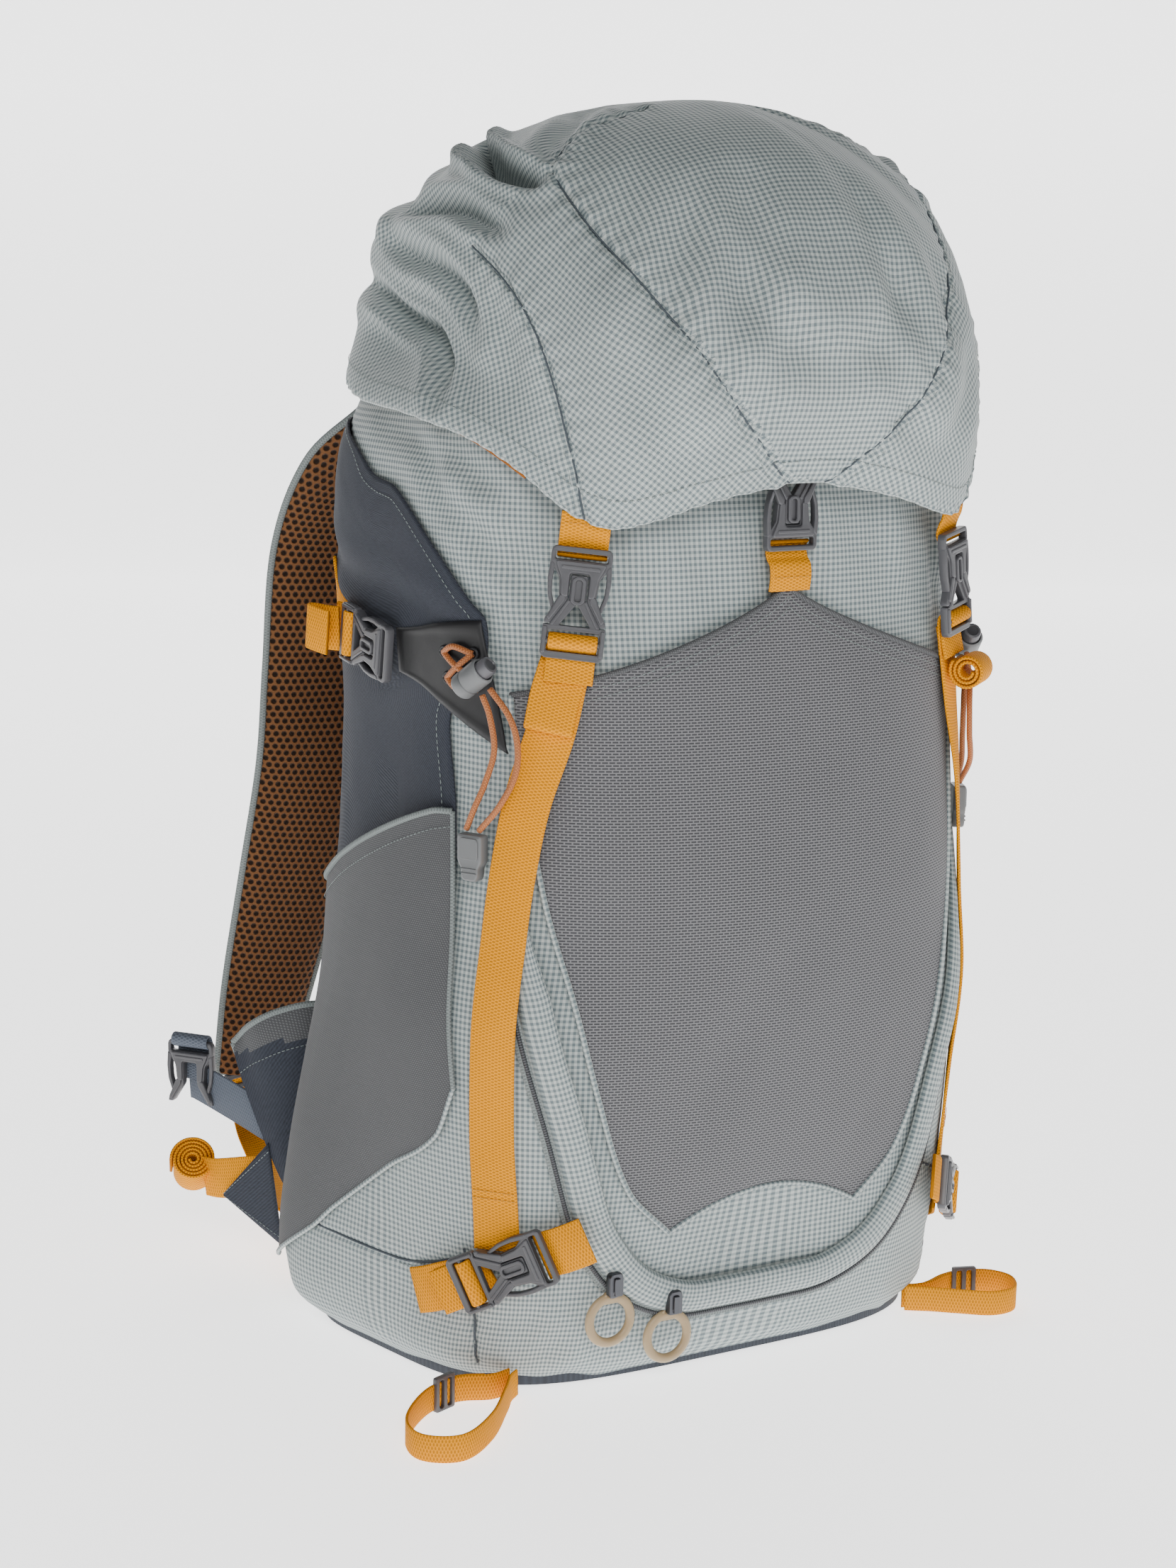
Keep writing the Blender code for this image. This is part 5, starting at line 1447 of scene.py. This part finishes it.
# %% [markdown]
# ## Side and base straps
# The side strap pulls the bag's flank in: it comes from the back seam, through its plug and back on
# itself in a loose loop. The lower strap does the same round the base corner.
# %% Compression straps
SIDE_ROUTE = ((146, 418, 0.9), (152, 408, 0.9), (160, 398, 0.9), (168, 392, 0.9), (172, 391, 1.6))
LOWER_ROUTE = ((188, 51, 0.9), (192, 54.5, 0.9), (198, 60, 0.9), (206, 66, 0.9), (212, 72, 0.9))
LOWER_STUB = ((48, -3.6), (40, -1.8), (34, -1.6), *SLOT_THREAD[2:])
for side, mirror in HANDS:
    webbing_piece(f"side_strap_web_{side}", strap_line(SIDE_ROUTE), "pack", mirror,
                  [f"side_strap_{side}"])
    tail = Shape()
    tail.ribbon(*threaded(SIDE_BUCKLE, LADDER_THREAD), STRAP_WIDTH - 0.8, STRAP_THICK)
    fold = smooth_path([spot(SIDE_BUCKLE, 0.5, -30.5, 1.2), spot(SIDE_BUCKLE, 0.8, -33, 3.2),
                        spot(SIDE_BUCKLE, 1, -37, 6.6), spot(SIDE_BUCKLE, 1, -42, 10.5),
                        spot(SIDE_BUCKLE, 1, -43.2, 13.2), spot(SIDE_BUCKLE, 1, -40, 14.6),
                        spot(SIDE_BUCKLE, 1, -30, 12.2), spot(SIDE_BUCKLE, 1, -25, 10.6)], 1.5)
    ahead = unit(np.gradient(fold, axis=0))
    cross = np.cross(SIDE_BUCKLE[1], SIDE_BUCKLE[2])
    tail.ribbon(fold, np.cross(ahead, cross), STRAP_WIDTH - 0.8, STRAP_THICK)
    tail.make(f"side_strap_tail_{side}", [YELLOW], f"side_plug_{side}", "yellow_webbing", (), mirror)

    webbing_piece(f"lower_strap_web_{side}", strap_line(LOWER_ROUTE), "pack", mirror,
                  [f"lower_strap_{side}"])
    webbing_piece(f"lower_strap_tail_{side}", threaded(LOWER_BUCKLE, LADDER_THREAD),
                  f"lower_plug_{side}", mirror, width=STRAP_WIDTH - 0.8)
    webbing_piece(f"lower_strap_stub_{side}", threaded(LOWER_BUCKLE, LOWER_STUB), "pack", mirror,
                  width=STRAP_WIDTH - 0.6)
print("compression straps done")

# %% [markdown]
# ## Cord locks, cord ends and zip pulls
# Small mouldings that are round are turned: a profile of radius and height goes round an axis. The
# lock is a barrel with a sprung button in it, and a flat end holds both cords with a tab to grip.
# %% Turned parts
def turned(shape, profile, origin, axis, steps=28, finish=0):
    origin, axis = np.asarray(origin, float), unit(np.asarray(axis, float))
    first = unit(np.cross(axis, [0.3, 1.0, 0.2]))
    second = np.cross(axis, first)
    turn = np.linspace(0, 2 * np.pi, steps, endpoint=False)
    ring = np.cos(turn)[:, None] * first + np.sin(turn)[:, None] * second
    profile = np.asarray(profile, float)
    points = origin + profile[:, :1, None] * ring[None] + profile[:, 1:, None] * axis
    index = shape.grid(points, wrap=True, flip=False, finish=finish)
    shape.add_faces(index[0][::-1][None], np.zeros((1, steps, 2)), finish)
    shape.add_faces(index[-1][None], np.zeros((1, steps, 2)), finish)


LOCK_CENTRE, LOCK_AXIS = np.array([-153.0, -84.0, 380.0]), (0.32924, -0.7383, 0.58865)
BARREL = ((5.0, -9), (6.2, -8.6), (6.9, -7.4), (7.0, -3), (6.6, -2.4), (7.0, -1.8), (7.0, 7.6), (6.6, 8.6),
          (5.8, 9.0), (5.4, 8.4), (5.4, 2.0))
BUTTON = ((4.9, 2.2), (4.9, 13.2), (4.4, 14.2), (3.2, 14.5), (2.8, 14.0), (1.0, 13.8))
END_OUTLINE = ((7.5, 12), (7.5, -2), (5.4, -5), (5.4, -9), (4.0, -12), (-4.0, -12), (-5.4, -9), (-5.4, -5),
               (-7.5, -2), (-7.5, 12))
for side, mirror in HANDS:
    lock = Shape()
    turned(lock, BARREL, LOCK_CENTRE, LOCK_AXIS)
    lock.make(f"cord_lock_barrel_{side}", [PALE_PLASTIC], "pack", "light_grey_plastic",
              [f"cord_lock_{side}"], mirror, 45)
    button = Shape()
    turned(button, BUTTON, LOCK_CENTRE, LOCK_AXIS)
    button.make(f"cord_lock_knob_{side}", [ACETAL], f"lock_button_{side}", "light_grey_plastic",
                [f"cord_lock_button_{side}"], mirror, 45)
    end = Shape()
    seat = frame_of((-151.25, -82.5, 289.7), (0, 0, 1), (-0.894, -0.447, 0))
    plate(end, [END_OUTLINE], -3.5, 3.5, seat, 1.3, 2.0)
    grip = mirrored_outline([(4.6, 10.4), (5.6, 8.6), (5.6, 0.5), (4.6, -0.8)])
    plate(end, [grip], 3.2, 4.1, seat, 0.4, 1.0)
    for level in (-5.5, -7.8):
        plate(end, [block(4.6, level - 0.5, level + 0.5)], 3.2, 4.0, seat, 0.35, 0.3)
    cord_end = end.make(f"cord_end_{side}_part", [PALE_PLASTIC], "pack", "light_grey_plastic",
                        [f"cord_end_{side}"], mirror, CREASE_ANGLE)
    for strand in ("rear", "front"):
        name = f"{strand}_shock_cord_{side}"
        route = cord_routes[name]
print("cords end in", cord_end.name)

# %% [markdown]
# A zip slider is a small die-cast body on the chain. A soft ring hangs under it on a thin lace, so
# that a gloved finger can pull it. The ring is a swept circle, a little wider than it is thick.
# %% Zip sliders and ring pulls
SLIDER_BODY = [(4, -6), (4, 5), (2.5, 7), (-2.5, 7), (-4, 5), (-4, -6)]
for side, x, z, slider_y, ring_y, ring_z in (("left", -88, 66, -121.02, -116.33, 45.5),
                                             ("right", -52, 50, -121.05, -114.68, 29.5)):
    slider = Shape()
    seat = frame_of((x, slider_y, z), (0, 0, 1), (0, -1, 0))
    plate(slider, [SLIDER_BODY], -2.4, 2.4, seat, 0.7, 1.2)
    bridge = mirrored_outline([(1.6, 4.5), (1.9, 2), (1.9, -4), (1.4, -5.4)])
    plate(slider, [bridge], 2.0, 3.6, seat, 0.6, 0.8)
    slider.make(f"zip_slider_{side}_body", [ZINC], f"zip_slider_{side}", "dark_zinc",
                [f"zip_slider_{side}"], sharp=CREASE_ANGLE)
    pull = Shape()
    turn = np.linspace(0, 2 * np.pi, 49)
    ring = np.stack([x + 12.2 * np.cos(turn), np.full(49, ring_y), ring_z + 12.2 * np.sin(turn)], -1)
    around = unit(np.gradient(ring, axis=0))
    facing = np.tile([0, -1.0, 0], (49, 1))
    pull.sweep(ring, np.cross(around, facing), facing, round_section(2.3, 14) * (1.12, 0.85), ends=False)
    bar = [(4.2, 9.0), (4.2, 13.6), (2.4, 15.2), (-2.4, 15.2), (-4.2, 13.6), (-4.2, 9.0)]
    plate(pull, [bar], -1.5, 1.5, frame_of((x, ring_y, ring_z), (0, 0, 1), (0, -1, 0)), 0.6, 1.0)
    pull.make(f"zip_ring_{side}", [BEIGE], f"zip_pull_{side}", "beige_plastic", [f"zip_pull_{side}"])
    lace = Shape()
    top = np.array([x, slider_y - 2.2, z - 3.0])
    foot = np.array([x, ring_y - 1.0, ring_z + 13.6])
    route = smooth_path([top + (-1.2, 0, 0), (top + foot) / 2 + (-2.2, -1.8, 0), foot + (-1.2, -2.2, 0),
                         foot + (1.2, -2.2, 0), (top + foot) / 2 + (2.2, -1.8, 0), top + (1.2, 0, 0)], 0.8)
    lace.tube(route, 0.9, 8)
    lace.make(f"zip_lace_{side}", [ACETAL], f"zip_slider_{side}", "dark_zinc")
print("zip pulls: 2")

# %% [markdown]
# ## Tool loops
# A loop of narrow webbing stands on its edge in front of each base corner. It runs through a small
# three-bar slider, so its size can change, and both ends are sewn into the base seam.
# %% Tool loops with their sliders
LOOP_MIDDLE = 7.9
LOOP_ROUTES = {
    "left": ((-129, -83), (-141, -85), (-158, -80), (-180, -88), (-203, -112), (-206, -134),
             (-188, -145), (-164, -130), (-142, -104), (-133, -92), (-126, -86)),
    "right": ((-126, -80), (-141, -84), (-156, -80), (-170, -79), (-184, -84), (-190, -97),
              (-181, -112), (-164, -114), (-147, -102), (-136, -92), (-125, -84)),
}
for side, mirror in HANDS:
    path = smooth_path([(x, y, LOOP_MIDDLE) for x, y in LOOP_ROUTES[side]], 2.0)
    middle = path.mean(0)
    run = np.linspace(0, 1, len(path))
    path[:, 2] += 0.7 * np.sin(run * 9) * np.sin(np.pi * run)
    loop = Shape()
    loop.ribbon(path, path - middle, NARROW_STRAP - 0.6, 1.5)
    fold = path[8:20] + unit(path[8:20] - middle) * 1.9
    loop.ribbon(fold, path[8:20] - middle, NARROW_STRAP - 1.2, 1.3)
    loop.make(f"tool_loop_web_{side}", [YELLOW], "pack", "yellow_webbing", [f"tool_loop_{side}"], mirror)
    slider = Shape()
    outward = np.array([-0.349, 0.937, 0.0])
    seat = frame_of((-167.2, -83.2, 9.6), np.cross(outward, (0, 0, 1.0)), outward)
    holes = [block(7.6, -4.6, -1.3), block(7.6, 1.3, 4.6)]
    plate(slider, [block(9.4, -7, 7), *holes], -1.5, 1.5, seat, 0.5, 1.4)
    slider.make(f"tool_slider_{side}", [ACETAL], "pack", "grey_acetal",
                [f"tool_loop_slider_{side}"], mirror, CREASE_ANGLE)
print("tool loops done")

# %% [markdown]
# ## Shoulder straps
# A shoulder strap is foam between spacer mesh, which faces the wearer, and check cloth outside. Its
# edge is bound. The section is a lozenge with a flatter middle, and it thins out towards its seam.
# %% Shoulder straps
STRAP_STATIONS = (
    (-57, 130, 517, 28, 6), (-76, 141, 494, 31, 6.5), (-96, 166, 464, 34, 6.5), (-103, 189, 417, 35, 6.5),
    (-105, 198, 348, 35, 6.5), (-107, 204, 290, 35, 6.5), (-115, 218, 220, 33, 6.5), (-125, 232, 150, 29, 6.5),
    (-134, 240, 92, 23, 6),
)
STRAP_END = ((-134, 240, 96), (-136, 240, 76), (-138, 222, 50), (-144, 170, 28), (-148, 118, 22))


def pad_rows(stations, across, columns):
    """Front and back faces of a padded strip, their shared edge, and its weave."""
    centre, half, thick = stations[:, :3], stations[:, 3], stations[:, 4]
    ahead = unit(np.gradient(centre, axis=0))
    side_way = unit(across - ahead * np.sum(across * ahead, 1, keepdims=True))
    depth = np.cross(ahead, side_way)
    u = np.linspace(-1, 1, columns)
    lift = (1 - np.abs(u) ** 3.2) ** 0.7
    flat = centre[:, None] + side_way[:, None] * (u * half[:, None])[..., None]
    rise = depth[:, None] * (lift * thick[:, None])[..., None]
    run = run_along(centre)
    cloth = np.stack(np.broadcast_arrays(u * half[:, None], run[:, None]), -1)
    return flat, rise, cloth, depth


for side, mirror in HANDS:
    stations = smooth_path(STRAP_STATIONS, 5)
    stations[:, 3] *= np.clip(0.35 + 0.65 * ease(np.arange(len(stations)), -2, 3), 0, 1)
    flat, rise, cloth, depth = pad_rows(stations, np.array([1.0, 0, 0]), 25)
    pad = Shape()
    wave = (1 + 0.03 * noise(cloth[..., 1] / 20, cloth[..., 0] / 30, 92))[..., None]
    top_face, low_face = flat + rise * wave, flat - rise * wave
    facing = np.sum(grid_normals(top_face) * depth[:, None]) > 0
    pad.grid(top_face, cloth, flip=not facing, finish=0)
    pad.grid(low_face, cloth, flip=facing, finish=1)
    pad_piece = pad.make(f"shoulder_pad_{side}", [SPACER, CHECK], "pack", "brown_spacer_mesh",
                         [f"shoulder_strap_{side}"], mirror)
    piping = Shape()
    for line in (flat[:, 0], flat[:, -1], flat[-1], flat[0]):
        piping.tube(line, 2.1, 10)
    piping.make(f"shoulder_piping_{side}", [BINDING], "pack", "brown_spacer_mesh", (), mirror)
    web = Shape()
    route = smooth_path(STRAP_END, 4)
    web.ribbon(route, np.tile([-0.25, 1.0, -0.2], (len(route), 1)), STRAP_WIDTH, STRAP_THICK)
    web.make(f"shoulder_web_{side}", [YELLOW], "pack", "yellow_webbing", (), mirror)
    ladder = Shape()
    seat = frame_of((-135.4, 240.6, 82), (-0.05, 0.0, 1.0), (-0.2, 1.0, 0.0))
    plate(ladder, [block(16, -12, 12), block(13, -8.6, -5.2), block(13, -2.2, 2.2), block(13, 5.2, 8.6)],
          -2.2, 2.2, seat, 0.6, 2.0)
    ladder.make(f"shoulder_ladder_{side}", [ACETAL], "pack", "grey_acetal", (), mirror, CREASE_ANGLE)
print("shoulder straps:", [round(v / MM) for v in pad_piece.dimensions], "mm")

# %% [markdown]
# ## Back panel and haul loop
# The wearer's back rests on foam under spacer mesh, with channels pressed in for air. A stiff sheet
# stands behind it inside the bag.
# %% Back panel
def panel_point(u, z, proud):
    half = 118 - 22 * (z - 60) / 445
    return back_point(half * u, z, proud)


u, z = np.meshgrid(np.linspace(-1, 1, 81), np.linspace(60, 505, 161))
channel = 1 - ease(np.abs(u), 0.05, 0.16)
edge = np.minimum.reduce([1 - np.abs(u), (z - 60) / 110, (505 - z) / 110])
pillow = ease(edge, 0, 0.16)
cross_cut = np.minimum.reduce([np.abs(z - level) for level in (160, 255, 350, 430)])
groove = (1 - ease(cross_cut, 1.5, 9)) * 0.7
swell = 1.8 + 12.0 * pillow * (1 - 0.62 * channel) * (1 - 0.5 * groove)
swell = swell + 0.4 * noise(u * 6, z / 30, 95) * pillow
points = panel_point(u, z, swell)
back = Shape()
cloth = np.stack([points[..., 0], points[..., 2]], -1)
back.sheet(points, 1.2, cloth, away=(0, 0, 280))
back_piece = back.make("spacer_back_panel", [SPACER], "pack", "brown_spacer_mesh", ["back_panel"])
piping = Shape()
outline = [(u, 60) for u in np.linspace(-1, 1, 40)] + [(1, z) for z in np.linspace(66, 500, 70)]
outline += [(u, 505) for u in np.linspace(1, -1, 40)] + [(-1, z) for z in np.linspace(500, 66, 70)]
outline = np.array(outline)
piping.tube(panel_point(outline[:, 0], outline[:, 1], 2.2), 2.2, 8)
piping.make("back_panel_piping", [BINDING], "pack", "brown_spacer_mesh")
haul = Shape()
half = [(-19, 137, 500), (-19, 138, 511), (-10, 140, 521)]
route = smooth_path(half + [(-x, y, z) for x, y, z in reversed(half)], 2)
haul.ribbon(route, route - (0, 138, 495), NARROW_STRAP, STRAP_THICK)
haul.make("haul_loop_web", [GREY_WEBBING], "pack", "slate_twill", ["haul_loop"])
print("back panel:", [round(v / MM) for v in back_piece.dimensions], "mm")

# %% [markdown]
# The sternum strap joins the shoulder straps across the chest. Each half is narrow webbing with an
# end piece on the shoulder strap, and the halves meet in a small buckle of a fork and a tongue.
# %% Sternum straps
for side, low, high in (("left", -100, 2), ("right", -11.6, 100)):
    strap = Shape()
    path = np.array([(x, 215.5, 302.0) for x in np.linspace(low, high, 30)])
    inner = path[:-4] if side == "left" else path[4:]
    strap.ribbon(inner, np.tile([0, 1.0, 0], (len(inner), 1)), 17, 1.5)
    seat = frame_of((0, 215.5, 302), (0, 0, 1), (0, 1, 0))
    if side == "left":
        fork = [(20, 12), (-2, 12), (-2, 6.6), (12, 6.6), (12, -6.6), (-2, -6.6), (-2, -12), (20, -12)]
        plate(strap, [fork], -1.8, 1.8, seat, 0.5, 1.4, 1)
    else:
        tongue = [(-16, 12), (-2.6, 12), (-2.6, 6.0), (11.4, 5.6), (11.4, -5.6), (-2.6, -6.0), (-2.6, -12), (-16, -12)]
        plate(strap, [tongue], -1.8, 1.8, seat, 0.5, 1.4, 1)
    end = frame_of((low + 3 if side == "left" else high - 3, 215.5, 302), (0, 0, 1), (0, 1, 0))
    plate(strap, [block(6, -12, 12), block(3, -9, 9)], -2.4, 2.4, end, 0.6, 1.5, 1)
    strap.make(f"sternum_strap_{side}_web", [GREY_WEBBING, ACETAL], f"sternum_{side}", "slate_twill",
               [f"sternum_strap_{side}"])
print("sternum straps done")

# %% [markdown]
# ## Hip belt
# Each wing is padded twill with a trim of grey knit along its top edge. Its webbing is wound up and
# tucked at the wing's end, where half of the hip buckle hangs.
# %% Hip wings
WING_STATIONS = ((-124, 119.5, 107.5, 52.5, 5.5), (-136, 121, 107, 58, 6), (-149, 125.5, 104, 58, 6.5),
                 (-160, 133, 99, 54, 6.5), (-168, 144, 93, 48, 6.0))
FLAP = ((-166, 139, 82), (-181, 170, 45), (-160, 136, 22))
ROLL_CENTRE, ROLL_AXIS = np.array([-190.0, 197.0, 54.0]), unit(np.array([-0.3, -0.75, 0.59]))
for side, mirror in HANDS:
    stations = smooth_path(WING_STATIONS, 3)
    flat, rise, cloth, depth = pad_rows(stations, np.array([0, 0, 1.0]), 33)
    wave = (1 + 0.05 * noise(cloth[..., 0] / 16, cloth[..., 1] / 14, 96))[..., None]
    wing = Shape()
    top_face, low_face = flat + rise * wave, flat - rise * wave
    facing = np.sum(grid_normals(top_face) * depth[:, None]) > 0
    trim_rows = cloth[:-1, :-1, 0] > 40
    wing.quads(wing.add_points(top_face), cloth, not facing, np.where(trim_rows, 1, 0))
    wing.quads(wing.add_points(low_face), cloth, facing, np.where(trim_rows, 1, 0))
    wing_piece = wing.make(f"hip_pad_{side}", [SLATE, TRICOT], f"hip_{side}", "slate_twill",
                           [f"hip_wing_{side}"], mirror)
    piping = Shape()
    for line in (flat[:, 0], flat[:, -1], flat[-1], flat[0]):
        piping.tube(line, 1.9, 8)
    seam = (flat + rise)[:, 26] + depth * 0.2
    other = (flat - rise)[:, 26] - depth * 0.2
    piping.stitches(seam, depth, 2.8, 2.0, 0.5, 1)
    piping.stitches(other, -depth, 2.8, 2.0, 0.5, 1)
    flap_edge = [np.array(p, float) + (-3.6, -5.4, 0) for p in FLAP]
    top_line = np.linspace(flap_edge[0], flap_edge[1], 16)
    low_line = np.linspace(flap_edge[2], flap_edge[1], 16) + (0.4, -0.6, -1.5)
    f = np.linspace(0, 1, 14)[:, None, None]
    patch = top_line[None] * (1 - f) + low_line[None] * f
    piping.sheet(patch, 1.4, patch[..., [1, 2]], finish=2, away=(0, 100, 60))
    for line in (patch[1], patch[-2]):
        piping.stitches(line, np.tile([-0.83, -0.55, 0], (16, 1)), 2.8, 2.0, 0.5, 1)
    piping.make(f"hip_piping_{side}", [BINDING, GREY_THREAD, SLATE], f"hip_{side}",
                "slate_twill", (), mirror)
    roll = Shape()
    first = unit(np.cross(ROLL_AXIS, [0, 0, 1.0]))
    second = unit(np.cross(ROLL_AXIS, first))
    turn = np.linspace(0, 10 * np.pi, 190)[:, None]
    spoke = first * np.cos(turn) + second * np.sin(turn)
    path = ROLL_CENTRE + spoke * (2.0 + 2.2 * turn / (2 * np.pi))
    roll.ribbon(path, spoke, STRAP_WIDTH, 1.7)
    tongue = smooth_path([(-187, 186, 50), (-183, 172, 52), (-172, 150, 58), (-166, 139, 60)], 2)
    roll.ribbon(tongue, np.tile([-0.85, -0.5, 0.0], (len(tongue), 1)), STRAP_WIDTH - 1, 1.6)
    roll.make(f"hip_strap_roll_{side}", [YELLOW], f"hip_{side}", "yellow_webbing",
              [f"hip_strap_{side}"], mirror)
HIP_SOCKET = frame_of((-187, 204, 101), (0, 0, 1), (-0.8, -0.6, 0))
socket("hip_socket", HIP_SOCKET, "hip_left", False, ["hip_buckle_socket"])
plug("hip_plug", HIP_SOCKET, "hip_right", True, ["hip_buckle_plug"])
HANGERS = {
    "left": ((2, -5.2), (14, -5.2), (24, -4.6), (29.2, -2.6), (30.4, 0.2), (28.6, 2.8), (25.2, 2.6), (23.4, 0),
             (22.6, -3)),
    "right": ((2, -5.4), (-11, -5.2), (-15.2, -2.6), (-16.3, 0.2), (-18.4, 3.0), (-21.2, 3.0), (-23.0, 0.2),
              (-24.6, -3.2), (-31, -4.6), (-46, -5.0)),
}
for side in SIDES:
    link = Shape()
    link.ribbon(*threaded(HIP_SOCKET, HANGERS[side]), STRAP_WIDTH - 1, 1.6)
    behind = spot(HIP_SOCKET, 0, 0, -7.4)
    line = smooth_path([(-166, 143, 92), (-172, 162, 96), behind, behind + (-1.5, 9, 0)], 2)
    facing = np.cross(unit(np.gradient(line, axis=0)), [0, 0, 1.0])
    link.ribbon(line, facing, STRAP_WIDTH - 1, 1.6)
    link.make(f"hip_buckle_web_{side}", [GREY_WEBBING], f"hip_{side}", "yellow_webbing", (), side == "right")
print("hip belt:", [round(v / MM) for v in wing_piece.dimensions], "mm")

# %% [markdown]
# ## The inside sheet
# The frame sheet inside the bag keeps its CAD shape, and only gets its moulded finish.
# %% Frame sheet
inside_sheet = frame["nodes"]["frame_sheet"]
inside_sheet.data.materials.clear()
inside_sheet.data.materials.append(SHEET_PLASTIC)
print("frame sheet finish:", SHEET_PLASTIC.name)

# %% [markdown]
# ## Floor and light
# The pack stands on a white sweep that curves up behind it, so no horizon shows. The sweep glows a
# little, as a light table does, which keeps it near white. A broad soft light comes from the front
# left, a weak one fills the right, a third lights the back, and a dim sky lights the rest.
# %% Sweep, lights and sky
def floor_recipe(tree, weave, place):
    speck = node(tree, "TexNoise", {"Vector": place, "Scale": 60.0, "Detail": 2.0})
    shine = node(tree, "MapRange", {"Value": speck, "To Min": 0.85, "To Max": 0.95})
    return {"Base Color": linear("#ffffff"), "Roughness": shine, "Emission Color": linear("#ffffff"),
            "Emission Strength": 1.95}


SWEEP = material("white_sweep_paper", floor_recipe)
profile = [(-3500, 0), (3500, 0)] + [(3500 + 900 * math.sin(a), 900 - 900 * math.cos(a))
                                     for a in np.linspace(0.1, np.pi / 2, 14)] + [(4400, 4200)]
turned_way = math.radians(-30)
paper = Shape()
rows = []
for depth, level in profile:
    line = [(across, depth) for across in np.linspace(-4000, 4000, 9)]
    rows.append([(a * math.cos(turned_way) - d * math.sin(turned_way),
                  a * math.sin(turned_way) + d * math.cos(turned_way), level) for a, d in line])
paper.grid(np.array(rows))
mesh_piece = paper.make("paper_sweep", [SWEEP], "pack", "check_fabric")
mesh_piece.parent = None
del mesh_piece["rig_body"], mesh_piece["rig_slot"]


def soft_light(name, place, aim, size, power):
    light = bpy.data.lights.new(name, "AREA")
    light.shape, light.size, light.energy = "DISK", size, power
    lamp = bpy.data.objects.new(name, light)
    lamp.location = Vector(place)
    lamp.rotation_euler = (Vector(aim) - Vector(place)).to_track_quat("-Z", "Y").to_euler()
    bpy.context.scene.collection.objects.link(lamp)


soft_light("key_softbox", (-1.3, -2.6, 1.7), (0, 0, 0.35), 1.2, 58)
soft_light("fill_softbox", (2.4, -1.4, 1.2), (0, 0, 0.3), 1.8, 4)
soft_light("back_softbox", (0.4, 2.2, 1.8), (0, 0.2, 0.3), 1.8, 12)
world = bpy.data.worlds.new("studio_white")
bpy.context.scene.world = world
world.use_nodes = True
world.node_tree.nodes["Background"].inputs["Color"].default_value = (1, 1, 1, 1)
world.node_tree.nodes["Background"].inputs["Strength"].default_value = 0.08
